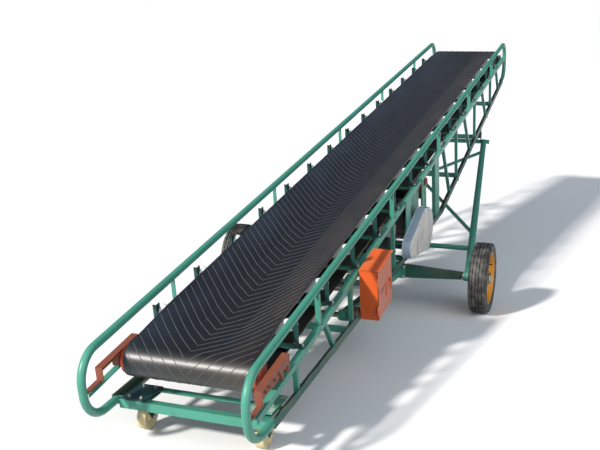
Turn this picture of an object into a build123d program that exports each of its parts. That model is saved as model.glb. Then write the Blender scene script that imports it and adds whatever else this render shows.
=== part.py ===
"""Portable belt conveyor: a fish-belly lattice frame on two road wheels and two tail casters.

Units are millimetres. +X runs from the tail to the head, +Y to the left, +Z up, and the
ground is z = 0. Most of the frame is drawn in slope coordinates: u runs up along the top
rail, w stands square to it, and both are 0 where the rail's line crosses the tail's end.
"""
import os
from math import asin, atan2, cos, degrees, hypot, radians, sin, tan

from build123d import *

# Driving sizes of the frame
INCLINE = 10.33           # slope of the top rail, degrees
RAIL_START_Z = 450        # height of the top rail's line at u = 0
RAIL_R = 19               # top rail tube
LOOP_TAIL_TOP_R = 125     # bends of the tube loops that close each side frame
LOOP_TAIL_DROP = 42
LOOP_TAIL_BOTTOM_R = 145
LOOP_HEAD_U = 6860
LOOP_HEAD_R = 140
LOOP_HEAD_DROP = 70
CHORD_BEND_X = 3660       # where the lower chord bends upward
CHORD_BEND_Z = 460
CHORD = 40                # side of the lower chord's angle iron
CHORD_T = 5
STRINGER = 30             # side of the angle iron that carries the idlers
STRINGER_T = 4
STRINGER_TAIL_W = -200    # middle of the stringer at the tail and at the head
STRINGER_HEAD_W = -145
STRINGER_TAIL_U = 60
STRINGER_HEAD_U = LOOP_HEAD_U - 40

# Belt and its rollers
BELT_W = 600
BELT_T = 8
BELT_GAP = 0.4            # the belt stands this far off what carries it
BELT_TOP_W = -63          # carrying face of the belt at both end pulleys
TAIL_U = 286
TAIL_R = 66.5             # bare drums
HEAD_U = LOOP_HEAD_U - 160
FACE_HALF = BELT_W / 2 + 15    # half the face of every drum
RAIL_CLEAR = 70           # from the belt's edge to the middle of a side frame's tubes
RAIL_Y = BELT_W / 2 + RAIL_CLEAR
HEAD_R = 80
DRIVE_X = 2880            # ground place of the drive drum
DRIVE_Z = 485
DRIVE_R = 75
BEND_R = 30
BEND_GAP_U = 125          # from the drive drum to each bend roller
RETURN_W = -239           # outer face of the return run by the drive
RETURN_R = 25
RETURN_U = [1400, 3900, 5300]
IDLER_U0 = 626
IDLER_PITCH = 432
IDLER_LAST_GAP = 400      # the last idler keeps at least this far from the head pulley
IDLER_COUNT = int((HEAD_U - IDLER_LAST_GAP - IDLER_U0) / IDLER_PITCH) + 1
IDLER_R = 30
IDLER_CENTRE_L = 190
IDLER_WING_L = BELT_W / 2 - 80
TROUGH = 17               # degrees
TROUGH_CORNER_Y = IDLER_CENTRE_L / 2 + 11
TROUGH_FLOOR_W = -98     # carrying face in the middle of the trough
BASE_DROP = 46            # from the centre roller's axis to its cross bar

# Drive, winch and control box
MOTOR_X = 2440
MOTOR_Z = 450
MOTOR_R = 74
MOTOR_OUT_Y = RAIL_Y - 40  # where its shaft leaves it
MOTOR_BODY_L = 240
MOTOR_COWL_L = 70
TERMINAL_L = 90
TERMINAL_H = 62
OUTER_BAR_T = 6           # flat bars on the right side frame that the guard and the switch box hang on
GUARD_IN_Y = RAIL_Y + CHORD / 2 + OUTER_BAR_T
GUARD_T = 58
GUARD_DRUM_R = 150        # round end at the drum, round end at the motor and corner on top
GUARD_MOTOR_R = 70
GUARD_CORNER = (2768, 622)
GUARD_CORNER_R = 28
WINCH_X = 3180
WINCH_Z = 680
WINCH_DRUM_R = 40
WINCH_DRUM_L = 160
WINCH_CASE_L = 62
WINCH_CHEEK_T = 8
WINCH_SHAFT_R = 14
BOX_U = 1570              # middle of the switch box, square to the slope
BOX_W = -304
BOX_L = 270
BOX_H = 290
BOX_IN_Y = GUARD_IN_Y
BOX_D = 98

# Running gear
WHEEL_X = 2709
WHEEL_R = 227
WHEEL_W = 120
WHEEL_OUT_Y = 909
RIM_R = 164               # where the tyre meets the rim
RIM_SET_IN = 8            # how far the rim's edge lies inside the tyre's side
SPINDLE_R = 17
WHEEL_IN_Y = WHEEL_OUT_Y - WHEEL_W
LEG_FOOT_Y = WHEEL_IN_Y - 33
LEG_TOP_Y = RAIL_Y + 42
LEG_TOP_BACK = 1500       # from the head loop back to the leg frame's top
LEG_TOP_X = LOOP_HEAD_U - LEG_TOP_BACK
LEG_R = 25
LEG_BRACE_R = 14
TOP_TUBE_R = 19
CHORD_ROLLER_R = 42
ROLLER_GAP = 5            # the rollers clear the chords by this, as the linkage drifts a little
STOP_DOWN_RUN = 1060      # how far the leg frame's top may run each way
STOP_UP_RUN = 340
STOP_LOW_X = LEG_TOP_X - STOP_DOWN_RUN
STOP_HIGH_X = LEG_TOP_X + STOP_UP_RUN
TUBE_BELOW = 115          # top tube's middle below the rollers' tops
AXLE = 60                 # width of the axle beam
AXLE_DEEP = 95            # height of the axle beam in the middle and by the wheels
AXLE_THIN = 38
AXLE_DEEP_Y = 220         # where its taper starts
AXLE_END_Y = LEG_FOOT_Y - 38
RUN_GAP = 0.05            # between a shaft and what turns on it
ARM_PIVOT_X = 1480
ARM_PIVOT_Z = 280
ARM_Y = RAIL_Y - 65
PIVOT_R = 15
CASTER_X = 400
CASTER_Y = RAIL_Y - 83
CASTER_R = 62.5
CASTER_W = 46
CASTER_TRAIL = 35
CASTER_TOP_Z = 152
CASTER_PLATE_T = 6
CASTER_PIN_R = 6          # swivel pin and axle
HITCH_X = 487
HITCH_Y = RAIL_Y - 85
HITCH_R = 11

SIDES = {"left": 1, "right": -1}
SLOPE = radians(INCLINE)
# Ground distances of the loops' ends from where the top rail's line starts, and the middle between them
TAIL_END_X = LOOP_TAIL_TOP_R * (cos(SLOPE) + sin(SLOPE)) - LOOP_TAIL_TOP_R - RAIL_R
HEAD_END_X = ((LOOP_HEAD_U - LOOP_HEAD_R) * cos(SLOPE) + (LOOP_HEAD_R + LOOP_HEAD_DROP) * sin(SLOPE)
              + LOOP_HEAD_R + RAIL_R)
CENTRE_X = (TAIL_END_X + HEAD_END_X) / 2


def place(u, y, w):
    """Point of the row frame at slope coordinates u, y, w."""
    x = u * cos(SLOPE) - w * sin(SLOPE) - CENTRE_X
    z = RAIL_START_Z + u * sin(SLOPE) + w * cos(SLOPE)
    return Vector(x, y, z)


def ground(x, y, z):
    """Point of the row frame at a ground distance x from the tail's end."""
    return Vector(x - CENTRE_X, y, z)


def to_slope(x, z):
    """Slope coordinates of a point at ground distance x and height z."""
    rise = z - RAIL_START_Z
    return x * cos(SLOPE) + rise * sin(SLOPE), -x * sin(SLOPE) + rise * cos(SLOPE)


def tangent_angle(centre, radius, point, turn):
    """Angle on a circle where the line from a point touches it."""
    du, dw = point[0] - centre[0], point[1] - centre[1]
    return atan2(dw, du) + turn * (radians(90) - asin(radius / hypot(du, dw)))


def on_circle(centre, radius, angle):
    return centre[0] + radius * cos(angle), centre[1] + radius * sin(angle)


BEND = to_slope(CHORD_BEND_X, CHORD_BEND_Z)
DRIVE_U, DRIVE_W = to_slope(DRIVE_X, DRIVE_Z)
TAIL_TOP_C = (LOOP_TAIL_TOP_R, -LOOP_TAIL_TOP_R)
TAIL_LOW_C = (LOOP_TAIL_BOTTOM_R, -LOOP_TAIL_TOP_R - LOOP_TAIL_DROP)
HEAD_TOP_C = (LOOP_HEAD_U - LOOP_HEAD_R, -LOOP_HEAD_R)
HEAD_LOW_C = (LOOP_HEAD_U - LOOP_HEAD_R, -LOOP_HEAD_R - LOOP_HEAD_DROP)
TAIL_JOIN_A = tangent_angle(TAIL_LOW_C, LOOP_TAIL_BOTTOM_R, BEND, -1)
HEAD_JOIN_A = tangent_angle(HEAD_LOW_C, LOOP_HEAD_R, BEND, 1)
TAIL_JOIN = on_circle(TAIL_LOW_C, LOOP_TAIL_BOTTOM_R, TAIL_JOIN_A)
HEAD_JOIN = on_circle(HEAD_LOW_C, LOOP_HEAD_R, HEAD_JOIN_A)


def chord_w(u):
    """Middle of the lower chord, square to the slope, at u."""
    end = TAIL_JOIN if u < BEND[0] else HEAD_JOIN
    return end[1] + (u - end[0]) * (BEND[1] - end[1]) / (BEND[0] - end[0])


def stringer_w(u):
    """Middle of the stringer's upright flange at u."""
    share = (u - STRINGER_TAIL_U) / (STRINGER_HEAD_U - STRINGER_TAIL_U)
    return STRINGER_TAIL_W + share * (STRINGER_HEAD_W - STRINGER_TAIL_W)


def frame_between(start, end, across=Vector(0, 1, 0)):
    """Plane at start whose normal runs to end and whose x lies along across."""
    return Plane(origin=start, x_dir=across, z_dir=end - start)


def beam(start, end, section, across=Vector(0, 1, 0)):
    """Prism of a sketch from start to end."""
    return extrude(frame_between(start, end, across) * section, (end - start).length)


def rod(start, end, radius):
    return beam(start, end, Circle(radius), across=perpendicular(end - start))


def perpendicular(direction):
    """A unit vector square to a direction."""
    helper = Vector(0, 0, 1) if abs(direction.normalized().Z) < 0.9 else Vector(1, 0, 0)
    return direction.cross(helper).normalized()


def crosswise(u, w, radius, half, shift=0):
    """Round bar along Y at slope place u, w."""
    return rod(place(u, shift - half, w), place(u, shift + half, w), radius)


def angle_section(side, leg, thick, shelf):
    """Angle iron: an upright flange outside, a level flange inward at top (1) or foot (-1)."""
    upright = Pos(-side * thick / 2, 0) * Rectangle(thick, leg)
    level = Pos(-side * leg / 2, shelf * (leg - thick) / 2) * Rectangle(leg, thick)
    return upright + level


def slope_box(u, y, w, length, width, height):
    """Box square to the slope, centred on u, y, w."""
    plane = Plane(origin=place(u, y, w), x_dir=place(1, 0, 0) - place(0, 0, 0),
                  z_dir=place(0, 0, 1) - place(0, 0, 0))
    return plane * Box(length, width, height)


def rail(side):
    """Tube that runs from chord to chord round the tail, along the top and round the head."""
    y = side * RAIL_Y
    lead = 90

    def at(point):
        return place(point[0], y, point[1])

    def arc(centre, radius, first, last):
        middle = (first + last) / 2
        return ThreePointArc(*[at(on_circle(centre, radius, a)) for a in (first, middle, last)])

    half_turn = radians(180)
    tail_end = (TAIL_JOIN[0] + lead, chord_w(TAIL_JOIN[0] + lead))
    head_end = (HEAD_JOIN[0] - lead, chord_w(HEAD_JOIN[0] - lead))
    path = [
        Line(at(tail_end), at(TAIL_JOIN)),
        arc(TAIL_LOW_C, LOOP_TAIL_BOTTOM_R, TAIL_JOIN_A, -half_turn),
        Line(at((0, TAIL_LOW_C[1])), at((0, TAIL_TOP_C[1]))),
        arc(TAIL_TOP_C, LOOP_TAIL_TOP_R, half_turn, half_turn / 2),
        Line(at((TAIL_TOP_C[0], 0)), at((HEAD_TOP_C[0], 0))),
        arc(HEAD_TOP_C, LOOP_HEAD_R, half_turn / 2, 0),
        Line(at((LOOP_HEAD_U, HEAD_TOP_C[1])), at((LOOP_HEAD_U, HEAD_LOW_C[1]))),
        arc(HEAD_LOW_C, LOOP_HEAD_R, 0, HEAD_JOIN_A),
        Line(at(HEAD_JOIN), at(head_end)),
    ]
    wire = Wire(path)
    start = Plane(origin=at(tail_end), z_dir=at(TAIL_JOIN) - at(tail_end))
    return sweep(start * Circle(RAIL_R), path=wire)


def lower_chord(side):
    """Angle iron along the foot of a side frame, bent once under the drive."""
    y = side * (RAIL_Y + CHORD / 2)
    section = angle_section(side, CHORD, CHORD_T, -1)
    lead = 90
    ends = [(TAIL_JOIN[0] + lead, chord_w(TAIL_JOIN[0] + lead)), BEND,
            (HEAD_JOIN[0] - lead, chord_w(HEAD_JOIN[0] - lead))]
    spots = [place(u, y, w) for u, w in ends]
    path = Polyline(*spots)
    return sweep(frame_between(spots[0], spots[1]) * section, path=path, transition=Transition.RIGHT)


def stringer(side):
    y = side * (RAIL_Y + CHORD / 2)
    section = angle_section(side, STRINGER, STRINGER_T, 1)
    start = place(STRINGER_TAIL_U, y, STRINGER_TAIL_W)
    end = place(STRINGER_HEAD_U, y, STRINGER_HEAD_W)
    return beam(start, end, section)


LAST_STRUT_U = HEAD_JOIN[0] - 100    # what stands past here falls on the head loops and is left out


def short_of_head(spots):
    """The distances up the slope that lie on the straight frame."""
    return [u for u in spots if u < LAST_STRUT_U]


# Posts of each side frame below the stringer, as distances up the slope
POST_U = short_of_head([520, 1335, 2210, 3500, 4210, 5050, 5910])
# Cross ties between the lower chords
TIE_U = short_of_head([1255, 1940, 2262, 3555, 4265, 5105, 5965])
# Posts between the stringer and the top rail
RAIL_POST_U = short_of_head([850, 2210, 3550, 4760, 5965])
# Leaning struts below the stringer: feet, and how far each leans back to its upper end
LEANING = {1030: 120, 1870: 150, 3925: 235, 4795: 245, 5640: 220, 6400: 140}
STRUT = 22
STRUT_T = 4
ALONG = place(1, 0, 0) - place(0, 0, 0)
UPWARD = place(0, 0, 1) - place(0, 0, 0)
WELD = 6                  # a strut's end runs this far over the flange it is welded to


def as_node(pieces):
    """One node from pieces that don't touch."""
    return Compound(children=[solid for piece in pieces for solid in piece.solids()])


def fused(pieces):
    """One node from pieces that are welded together."""
    whole = pieces[0]
    for piece in pieces[1:]:
        whole = whole + piece
    return whole


def strut(side, top, foot):
    """Angle iron strut between two slope points, inside the flanges of a side frame."""
    y = side * (RAIL_Y + CHORD / 2 - CHORD_T)
    section = angle_section(side, STRUT, STRUT_T, 1)
    return beam(place(foot[0], y, foot[1]), place(top[0], y, top[1]), section)


def side_struts(side):
    """Posts and leaning struts of one side frame."""
    pieces = []
    for u in RAIL_POST_U:
        pieces.append(strut(side, (u, -RAIL_R), (u, stringer_w(u) + STRINGER / 2 + 0.2)))
    leaning = [(u - LEANING[u], u) for u in short_of_head(LEANING)]
    for top_u, foot_u in [(u, u) for u in POST_U] + leaning:
        pieces.append(strut(side, (top_u, stringer_w(top_u) - WELD), (foot_u, chord_w(foot_u) + WELD)))
    return as_node(pieces)


def flange_w(u):
    """Upper face of the lower chord's level flange at u."""
    end = HEAD_JOIN if u > BEND[0] else TAIL_JOIN
    slope = atan2(abs(BEND[1] - end[1]), abs(BEND[0] - end[0]))
    return chord_w(u) - (CHORD / 2 - CHORD_T) / cos(slope)


def slab(y0, y1, corners):
    """Plate between two planes of constant y, outlined by slope points u, w."""
    face = Face(Wire(Polyline(*[place(u, y0, w) for u, w in corners], close=True)))
    return extrude(face, abs(y1 - y0), dir=(0, 1 if y1 > y0 else -1, 0))


def on_flange(u0, u1, height):
    """Corners of a block that stands on the lower chord's level flange."""
    return [(u0, flange_w(u0)), (u1, flange_w(u1)), (u1, flange_w(u1) + height), (u0, flange_w(u0) + height)]


FLANGE_IN = RAIL_Y - CHORD / 2     # inner edge of the chord's level flange
FLANGE_OUT = RAIL_Y + CHORD / 2 - CHORD_T


def cross_ties():
    """Angle irons that tie the side frames together on the lower chords."""
    pieces = []
    for u in TIE_U:
        foot = slab(-FLANGE_OUT, FLANGE_OUT, on_flange(u - 20, u + 20, 4))
        web = slab(-FLANGE_OUT, FLANGE_OUT, on_flange(u - 20, u - 16, 40))
        pieces.append(foot + web)
    return as_node(pieces)


ROLL_AXIS_W = TROUGH_FLOOR_W - BELT_T - BELT_GAP - IDLER_R
BASE_W = ROLL_AXIS_W - BASE_DROP


def idler_stations():
    return [IDLER_U0 + i * IDLER_PITCH for i in range(IDLER_COUNT)]


def wing_spot(run):
    """Slope y, w on a wing roller's axis, at a run outward from its inner end."""
    tilt = radians(TROUGH)
    under = BELT_GAP + IDLER_R
    start = 5 + IDLER_R * sin(tilt) / 2
    y = TROUGH_CORNER_Y + (start + run) * cos(tilt) + under * sin(tilt) - IDLER_R * sin(tilt)
    w = TROUGH_FLOOR_W - BELT_T + (y - under * sin(tilt) - TROUGH_CORNER_Y) * tan(tilt) - under * cos(tilt)
    return y, w


BRACKET_Y = RAIL_Y - 26   # middle of the idlers' side brackets
BRACKET_TOP_W = -44
BRACKET_T = 4
BRACKET_WIDE = 32
BRACKET_FLANGE = 17
FOOT_L = 40
FOOT_T = 5


def idler_bracket(side, u):
    """Upright angle iron at one end of an idler station, standing on the stringer, and its stub shaft."""
    face_y = side * (BRACKET_Y + (BRACKET_T + BRACKET_FLANGE) / 2)
    seat_w = stringer_w(u) + STRINGER / 2
    web = beam(place(u, side * BRACKET_Y, BASE_W), place(u, side * BRACKET_Y, BRACKET_TOP_W),
               Rectangle(BRACKET_T, BRACKET_WIDE))
    face_u = u - (BRACKET_WIDE - BRACKET_T) / 2
    face = beam(place(face_u, face_y, seat_w), place(face_u, face_y, BRACKET_TOP_W),
                Rectangle(BRACKET_FLANGE, BRACKET_T))
    foot_w = seat_w + FOOT_T / 2 + 0.2
    foot = beam(place(u, side * BRACKET_Y, foot_w), place(u, side * (RAIL_Y + CHORD / 2 - 2), foot_w),
                Rectangle(FOOT_L, FOOT_T), across=ALONG)
    y0, w0 = wing_spot(IDLER_WING_L)
    y1, w1 = wing_spot(IDLER_WING_L + (BRACKET_Y - y0) / cos(radians(TROUGH)))
    shaft = rod(place(u, side * y0, w0), place(u, side * y1, w1), 8)
    return [web, face, foot, shaft]


def idler_brackets(side):
    return as_node([fused(idler_bracket(side, u)) for u in idler_stations()])


def idler_bars():
    """Cross bar of each idler station, with the two plates that hold its centre roller."""
    half = BRACKET_Y - BRACKET_T / 2
    pieces = []
    for u in idler_stations():
        base = Rectangle(FOOT_L, FOOT_T)
        parts = [beam(place(u, -half, BASE_W), place(u, half, BASE_W), base, across=ALONG)]
        for side in SIDES.values():
            y = side * (IDLER_CENTRE_L / 2 + 5)
            parts.append(beam(place(u, y, BASE_W), place(u, y, ROLL_AXIS_W + 12), Rectangle(4, 24)))
        pieces.append(fused(parts))
    return as_node(pieces)


def centre_rollers():
    return as_node([crosswise(u, ROLL_AXIS_W, IDLER_R, IDLER_CENTRE_L / 2) for u in idler_stations()])


def wing_rollers(side):
    pieces = []
    for u in idler_stations():
        y0, w0 = wing_spot(0)
        y1, w1 = wing_spot(IDLER_WING_L)
        pieces.append(rod(place(u, side * y0, w0), place(u, side * y1, w1), IDLER_R))
    return as_node(pieces)


HALF_T = BELT_T / 2 + BELT_GAP
TAIL_W = BELT_TOP_W - BELT_T - BELT_GAP - TAIL_R
HEAD_W = BELT_TOP_W - BELT_T - BELT_GAP - HEAD_R
BEND_W = RETURN_W - BELT_GAP - BEND_R
# Wheels that the flat part of the belt passes, from the head round to the tail:
# centre u, centre w, bare radius, and 1 where it turns left or -1 where it turns right
BELT_WHEELS = [
    (HEAD_U, HEAD_W, HEAD_R, -1),
    (DRIVE_U + BEND_GAP_U, BEND_W, BEND_R, 1),
    (DRIVE_U, DRIVE_W, DRIVE_R, -1),
    (DRIVE_U - BEND_GAP_U, BEND_W, BEND_R, 1),
    (TAIL_U, TAIL_W, TAIL_R, -1),
]


def belt_tangents():
    """Heading, start and end of each straight run of the belt between two wheels."""
    runs = []
    for first, second in zip(BELT_WHEELS, BELT_WHEELS[1:]):
        r1 = first[3] * (first[2] + HALF_T)
        r2 = second[3] * (second[2] + HALF_T)
        du, dw = second[0] - first[0], second[1] - first[1]
        offset = r1 - r2
        length = (du * du + dw * dw - offset * offset) ** 0.5
        heading = atan2(dw, du) + atan2(offset, length)
        right = (sin(heading), -cos(heading))
        runs.append((heading, (first[0] + r1 * right[0], first[1] + r1 * right[1]),
                     (second[0] + r2 * right[0], second[1] + r2 * right[1])))
    return runs


def belt_round(wheel, before, after):
    """Arc of the belt round one wheel, from one heading to the next."""
    u, w, radius, turn = wheel
    swing = turn * ((turn * (after - before)) % radians(360))
    spots = []
    for share in (0, 0.5, 1):
        heading = before + share * swing
        reach = turn * (radius + HALF_T)
        spots.append(place(u + reach * sin(heading), 0, w - reach * cos(heading)))
    return ThreePointArc(*spots)


def belt_return_run():
    """The rest of the belt: round the head, back over the drive drum and round the tail."""
    runs = belt_tangents()
    headings = [0] + [run[0] for run in runs] + [0]
    path = []
    for i, wheel in enumerate(BELT_WHEELS):
        path.append(belt_round(wheel, headings[i], headings[i + 1]))
        if i < len(runs):
            path.append(Line(place(runs[i][1][0], 0, runs[i][1][1]), place(runs[i][2][0], 0, runs[i][2][1])))
    start = Plane(origin=place(HEAD_U, 0, BELT_TOP_W - BELT_T / 2), x_dir=(0, 1, 0), z_dir=ALONG)
    return sweep(start * Rectangle(BELT_W, BELT_T), path=Wire(path))


def trough_line(depth):
    """Carrying face across the belt as points y, w: depth 0 is flat and 1 is the full trough."""
    wing = BELT_W / 2 - TROUGH_CORNER_Y
    tilt = radians(TROUGH) * depth
    floor = BELT_TOP_W + depth * (TROUGH_FLOOR_W - BELT_TOP_W)
    edge_y = TROUGH_CORNER_Y + wing * cos(tilt)
    edge_w = floor + wing * sin(tilt)
    return [(-edge_y, edge_w), (-TROUGH_CORNER_Y, floor), (TROUGH_CORNER_Y, floor), (edge_y, edge_w)]


def band_section(u, depth, band):
    """Section at u of one band of the belt: 0 and 2 are its wings and 1 is its middle."""
    top = trough_line(depth)[band:band + 2]
    low = [(y, w - BELT_T) for y, w in reversed(top)]
    return Face(Wire(Polyline(*[place(u, y, w) for y, w in top + low], close=True)))


def belt_carrying_run():
    """Upper run of the endless belt, flat at both end pulleys and troughed over the idlers.

    Its middle and its wings are drawn as bands that meet edge to edge, so each stays simple in shape.
    """
    stations = idler_stations()
    spans = [((TAIL_U, 0), (stations[0], 1)), ((stations[0], 1), (stations[-1], 1)),
             ((stations[-1], 1), (HEAD_U, 0))]
    pieces = []
    for band in range(3):
        for first, last in spans:
            pieces.append(loft([band_section(*first, band), band_section(*last, band)], ruled=True))
    return as_node(pieces)


def pulley(u, w, radius, shaft_r, shaft_half):
    drum = crosswise(u, w, radius, FACE_HALF)
    shaft = crosswise(u, w, shaft_r, shaft_half)
    return drum + shaft


BEND_SHAFT_R = 10
RETURN_SHAFT_R = 9
HANGER_Y = RAIL_Y - 31    # middle of the plates that carry the return rollers
HANGER_T = 6


def bend_rollers():
    spots = [DRIVE_U - BEND_GAP_U, DRIVE_U + BEND_GAP_U]
    return as_node([pulley(u, BEND_W, BEND_R, BEND_SHAFT_R, HANGER_Y - HANGER_T / 2) for u in spots])


def return_w(u):
    """Lower face of the return run at u."""
    run = belt_tangents()[0] if u > DRIVE_U else belt_tangents()[-1]
    (u0, w0), (u1, w1) = run[1], run[2]
    return w0 + (u - u0) * (w1 - w0) / (u1 - u0) - BELT_T / 2


def return_roller_w(u):
    return return_w(u) - BELT_GAP - RETURN_R


def return_rollers():
    shaft_half = HANGER_Y + HANGER_T
    return as_node([pulley(u, return_roller_w(u), RETURN_R, RETURN_SHAFT_R, shaft_half) for u in RETURN_U])


def hanger(side, u, w, shaft_r, width=50, below=24, lug_l=40, lug_t=12):
    """Plate that hangs from the stringer to carry a shaft through its eye."""
    top = stringer_w(u) - STRINGER / 2 + 22
    plate = slope_box(u, side * HANGER_Y, (top + w - below) / 2, width, HANGER_T, top - w + below)
    bolt_lug = slope_box(u, side * (HANGER_Y + lug_l / 2), top - lug_t / 2, width, lug_l, lug_t)
    eye = crosswise(u, w, shaft_r + BELT_GAP, HANGER_T, shift=side * HANGER_Y)
    return plate + bolt_lug - eye


def return_brackets():
    pieces = []
    for u in RETURN_U:
        for side in SIDES.values():
            pieces.append(hanger(side, u, return_roller_w(u), RETURN_SHAFT_R))
    return as_node(pieces)


def bearing_block(side, u, w, shaft_r, size, y):
    """Flanged bearing at a shaft's end."""
    return slope_box(u, side * y, w, *size) - crosswise(u, w, shaft_r + BELT_GAP, size[1], shift=side * y)


TAKE_UP_T = 5
TAKE_UP_OUT_Y = FLANGE_OUT     # outer face of the take-ups' upright flange
TAKE_UP_TOP_W = -105
TAKE_UP_LEG = 42
TAKE_UP_SHELF = 34
TAKE_UP_DROP_W = -172     # foot of its tail end, where the lug runs to the tube loop
TAKE_UP_U = (128, 440)
TAKE_UP_FEET_U = (340, 418)


def take_up(side):
    """Bent angle iron that holds the tail pulley's bearing, with a lug on the tube loop and two feet."""
    tail_u, head_u = TAKE_UP_U
    low_w = TAKE_UP_TOP_W - TAKE_UP_LEG
    out_y, in_y = side * TAKE_UP_OUT_Y, side * (TAKE_UP_OUT_Y - TAKE_UP_SHELF)
    web_y = side * (TAKE_UP_OUT_Y - TAKE_UP_T)
    shelf_w = TAKE_UP_TOP_W - TAKE_UP_T
    top = [(tail_u, TAKE_UP_TOP_W), (head_u, TAKE_UP_TOP_W)]
    web = slab(web_y, out_y, top + [(head_u, low_w), (tail_u, low_w)])
    shelf = slab(in_y, out_y, top + [(head_u, shelf_w), (tail_u, shelf_w)])
    drop = slab(in_y, out_y, [(tail_u, TAKE_UP_TOP_W), (tail_u + TAKE_UP_T, TAKE_UP_TOP_W),
                              (tail_u + TAKE_UP_T, TAKE_UP_DROP_W), (tail_u, TAKE_UP_DROP_W)])
    lug_w = TAKE_UP_DROP_W + 8
    lug = slab(side * (RAIL_Y - 6), out_y, [(RAIL_R + 0.2, lug_w), (RAIL_R + 0.2, TAKE_UP_DROP_W),
                                            (tail_u, TAKE_UP_DROP_W), (tail_u, lug_w)])
    arm = fused([web, shelf, drop, lug])
    for u in TAKE_UP_FEET_U:
        seat, top_w, end_u = stringer_w(u) + STRINGER / 2 + 0.3, low_w + 20, u + 16
        arm = arm + slab(side * (RAIL_Y - 8), out_y, [(u, top_w), (end_u, top_w), (end_u, seat), (u, seat)])
    return arm


def tail_bearings():
    y = TAKE_UP_OUT_Y - TAKE_UP_T - 17
    return as_node([bearing_block(side, TAIL_U, TAIL_W, 15, (70, 34, 54), y) for side in SIDES.values()])


def head_bearings():
    y = FLANGE_IN - 15
    return as_node([bearing_block(side, HEAD_U, HEAD_W, 17, (110, 30, 80), y) for side in SIDES.values()])


DRIVE_PLATE_HALF = 160
DRIVE_SHAFT_R = 17
DRUM_BEARING_R = 46


def drive_plates():
    """Side plates that carry the drive drum's and bend rollers' shafts."""
    plates = []
    u0, u1 = DRIVE_U - DRIVE_PLATE_HALF, DRIVE_U + DRIVE_PLATE_HALF
    high = stringer_w(DRIVE_U) - STRINGER / 2 - 8
    for side in SIDES.values():
        plate = slab(side * (FLANGE_IN - 9), side * (FLANGE_IN - 1),
                     [(u0, flange_w(u0)), (u1, flange_w(u1)), (u1, high), (u0, high)])
        plate = plate + slab(side * (FLANGE_IN - 3), side * FLANGE_OUT, on_flange(u0, u1, 8))
        middle = side * (FLANGE_IN - 5)
        holes = [crosswise(DRIVE_U, DRIVE_W, DRIVE_SHAFT_R + BELT_GAP, 20, shift=middle)]
        for u in (DRIVE_U - BEND_GAP_U, DRIVE_U + BEND_GAP_U):
            holes.append(crosswise(u, BEND_W, BEND_SHAFT_R + BELT_GAP, 20, shift=middle))
        for hole in holes:
            plate = plate - hole
        plates.append(plate)
    return as_node(plates)


def drum_bearings():
    """Round bearing housings on the drive plates, inside the line of the side frames' flanges."""
    pieces = []
    for side in SIDES.values():
        middle = side * (FLANGE_IN - 1 + 16)
        ring = crosswise(DRIVE_U, DRIVE_W, DRUM_BEARING_R, 16, shift=middle)
        pieces.append(ring - crosswise(DRIVE_U, DRIVE_W, DRIVE_SHAFT_R + BELT_GAP, 20, shift=middle))
    return as_node(pieces)


def cylinder_y(x, z, radius, y0, y1):
    return rod(ground(x, y0, z), ground(x, y1, z), radius)


def side_slab(y0, y1, corners):
    """Plate between two planes of constant y, outlined by ground points x, z."""
    face = Face(Wire(Polyline(*[ground(x, y0, z) for x, z in corners], close=True)))
    return extrude(face, abs(y1 - y0), dir=(0, 1 if y1 > y0 else -1, 0))


MOTOR_FIN = 6             # depth of the cooling fins, which the scene draws


def motor():
    """Electric motor across the frame, with its shaft."""
    seam_y = MOTOR_BODY_L - MOTOR_OUT_Y
    body = cylinder_y(MOTOR_X, MOTOR_Z, MOTOR_R + MOTOR_FIN, -MOTOR_OUT_Y, seam_y)
    cowl = cylinder_y(MOTOR_X, MOTOR_Z, MOTOR_R, seam_y, seam_y + MOTOR_COWL_L)
    nose = cylinder_y(MOTOR_X, MOTOR_Z, 14, 4 - GUARD_IN_Y, -MOTOR_OUT_Y)
    return fused([body, cowl, nose])


def terminal_box():
    """Cable box on top of the motor."""
    radius = MOTOR_R + MOTOR_FIN
    low = MOTOR_Z + radius * cos(asin(TERMINAL_L / 2 / radius))
    block = Pos(*ground(MOTOR_X, 45 - MOTOR_OUT_Y, low + TERMINAL_H / 2)) * Box(TERMINAL_L, 84, TERMINAL_H)
    return block - cylinder_y(MOTOR_X, MOTOR_Z, radius, -MOTOR_OUT_Y, MOTOR_BODY_L - MOTOR_OUT_Y)


def motor_mount():
    """Two bars on the chords and a cradle under the motor."""
    u, w = to_slope(MOTOR_X, MOTOR_Z)
    parts = []
    for shift in (-82, 38):
        parts.append(slab(-FLANGE_OUT, FLANGE_OUT, on_flange(u + shift, u + shift + 36, 24)))
    low = flange_w(u) + 16
    parts.append(slab(20 - MOTOR_OUT_Y, 230 - MOTOR_OUT_Y,
                      [(u - 80, low), (u + 72, low - 4), (u + 68, w - 30), (u - 76, w - 30)]))
    return fused(parts) - cylinder_y(MOTOR_X, MOTOR_Z, MOTOR_R + MOTOR_FIN + BELT_GAP, -RAIL_Y, 20)


def guard():
    """Closed cover of the V-belt drive: a large round end at the drum and a small one at the motor."""
    plane = Plane(origin=Vector(0, -GUARD_IN_Y, 0), x_dir=(1, 0, 0), z_dir=(0, -1, 0))
    rounds = []
    for x, z, radius in ((DRIVE_X, DRIVE_Z, GUARD_DRUM_R), (MOTOR_X, MOTOR_Z, GUARD_MOTOR_R),
                         (*GUARD_CORNER, GUARD_CORNER_R)):
        spot = ground(x, 0, z)
        rounds += (Pos(spot.X, spot.Z) * Circle(radius)).edges()
    return extrude(plane * make_hull(rounds), GUARD_T)


def outer_bar(u0, u1, over=15):
    """Flat bar on the outer faces of the right stringer and chord, that something hangs on."""
    corners = [(u0, stringer_w(u0) + over), (u1, stringer_w(u1) + over), (u1, chord_w(u1) - over),
               (u0, chord_w(u0) - over)]
    return slab(OUTER_BAR_T - GUARD_IN_Y, -GUARD_IN_Y, corners)


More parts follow.
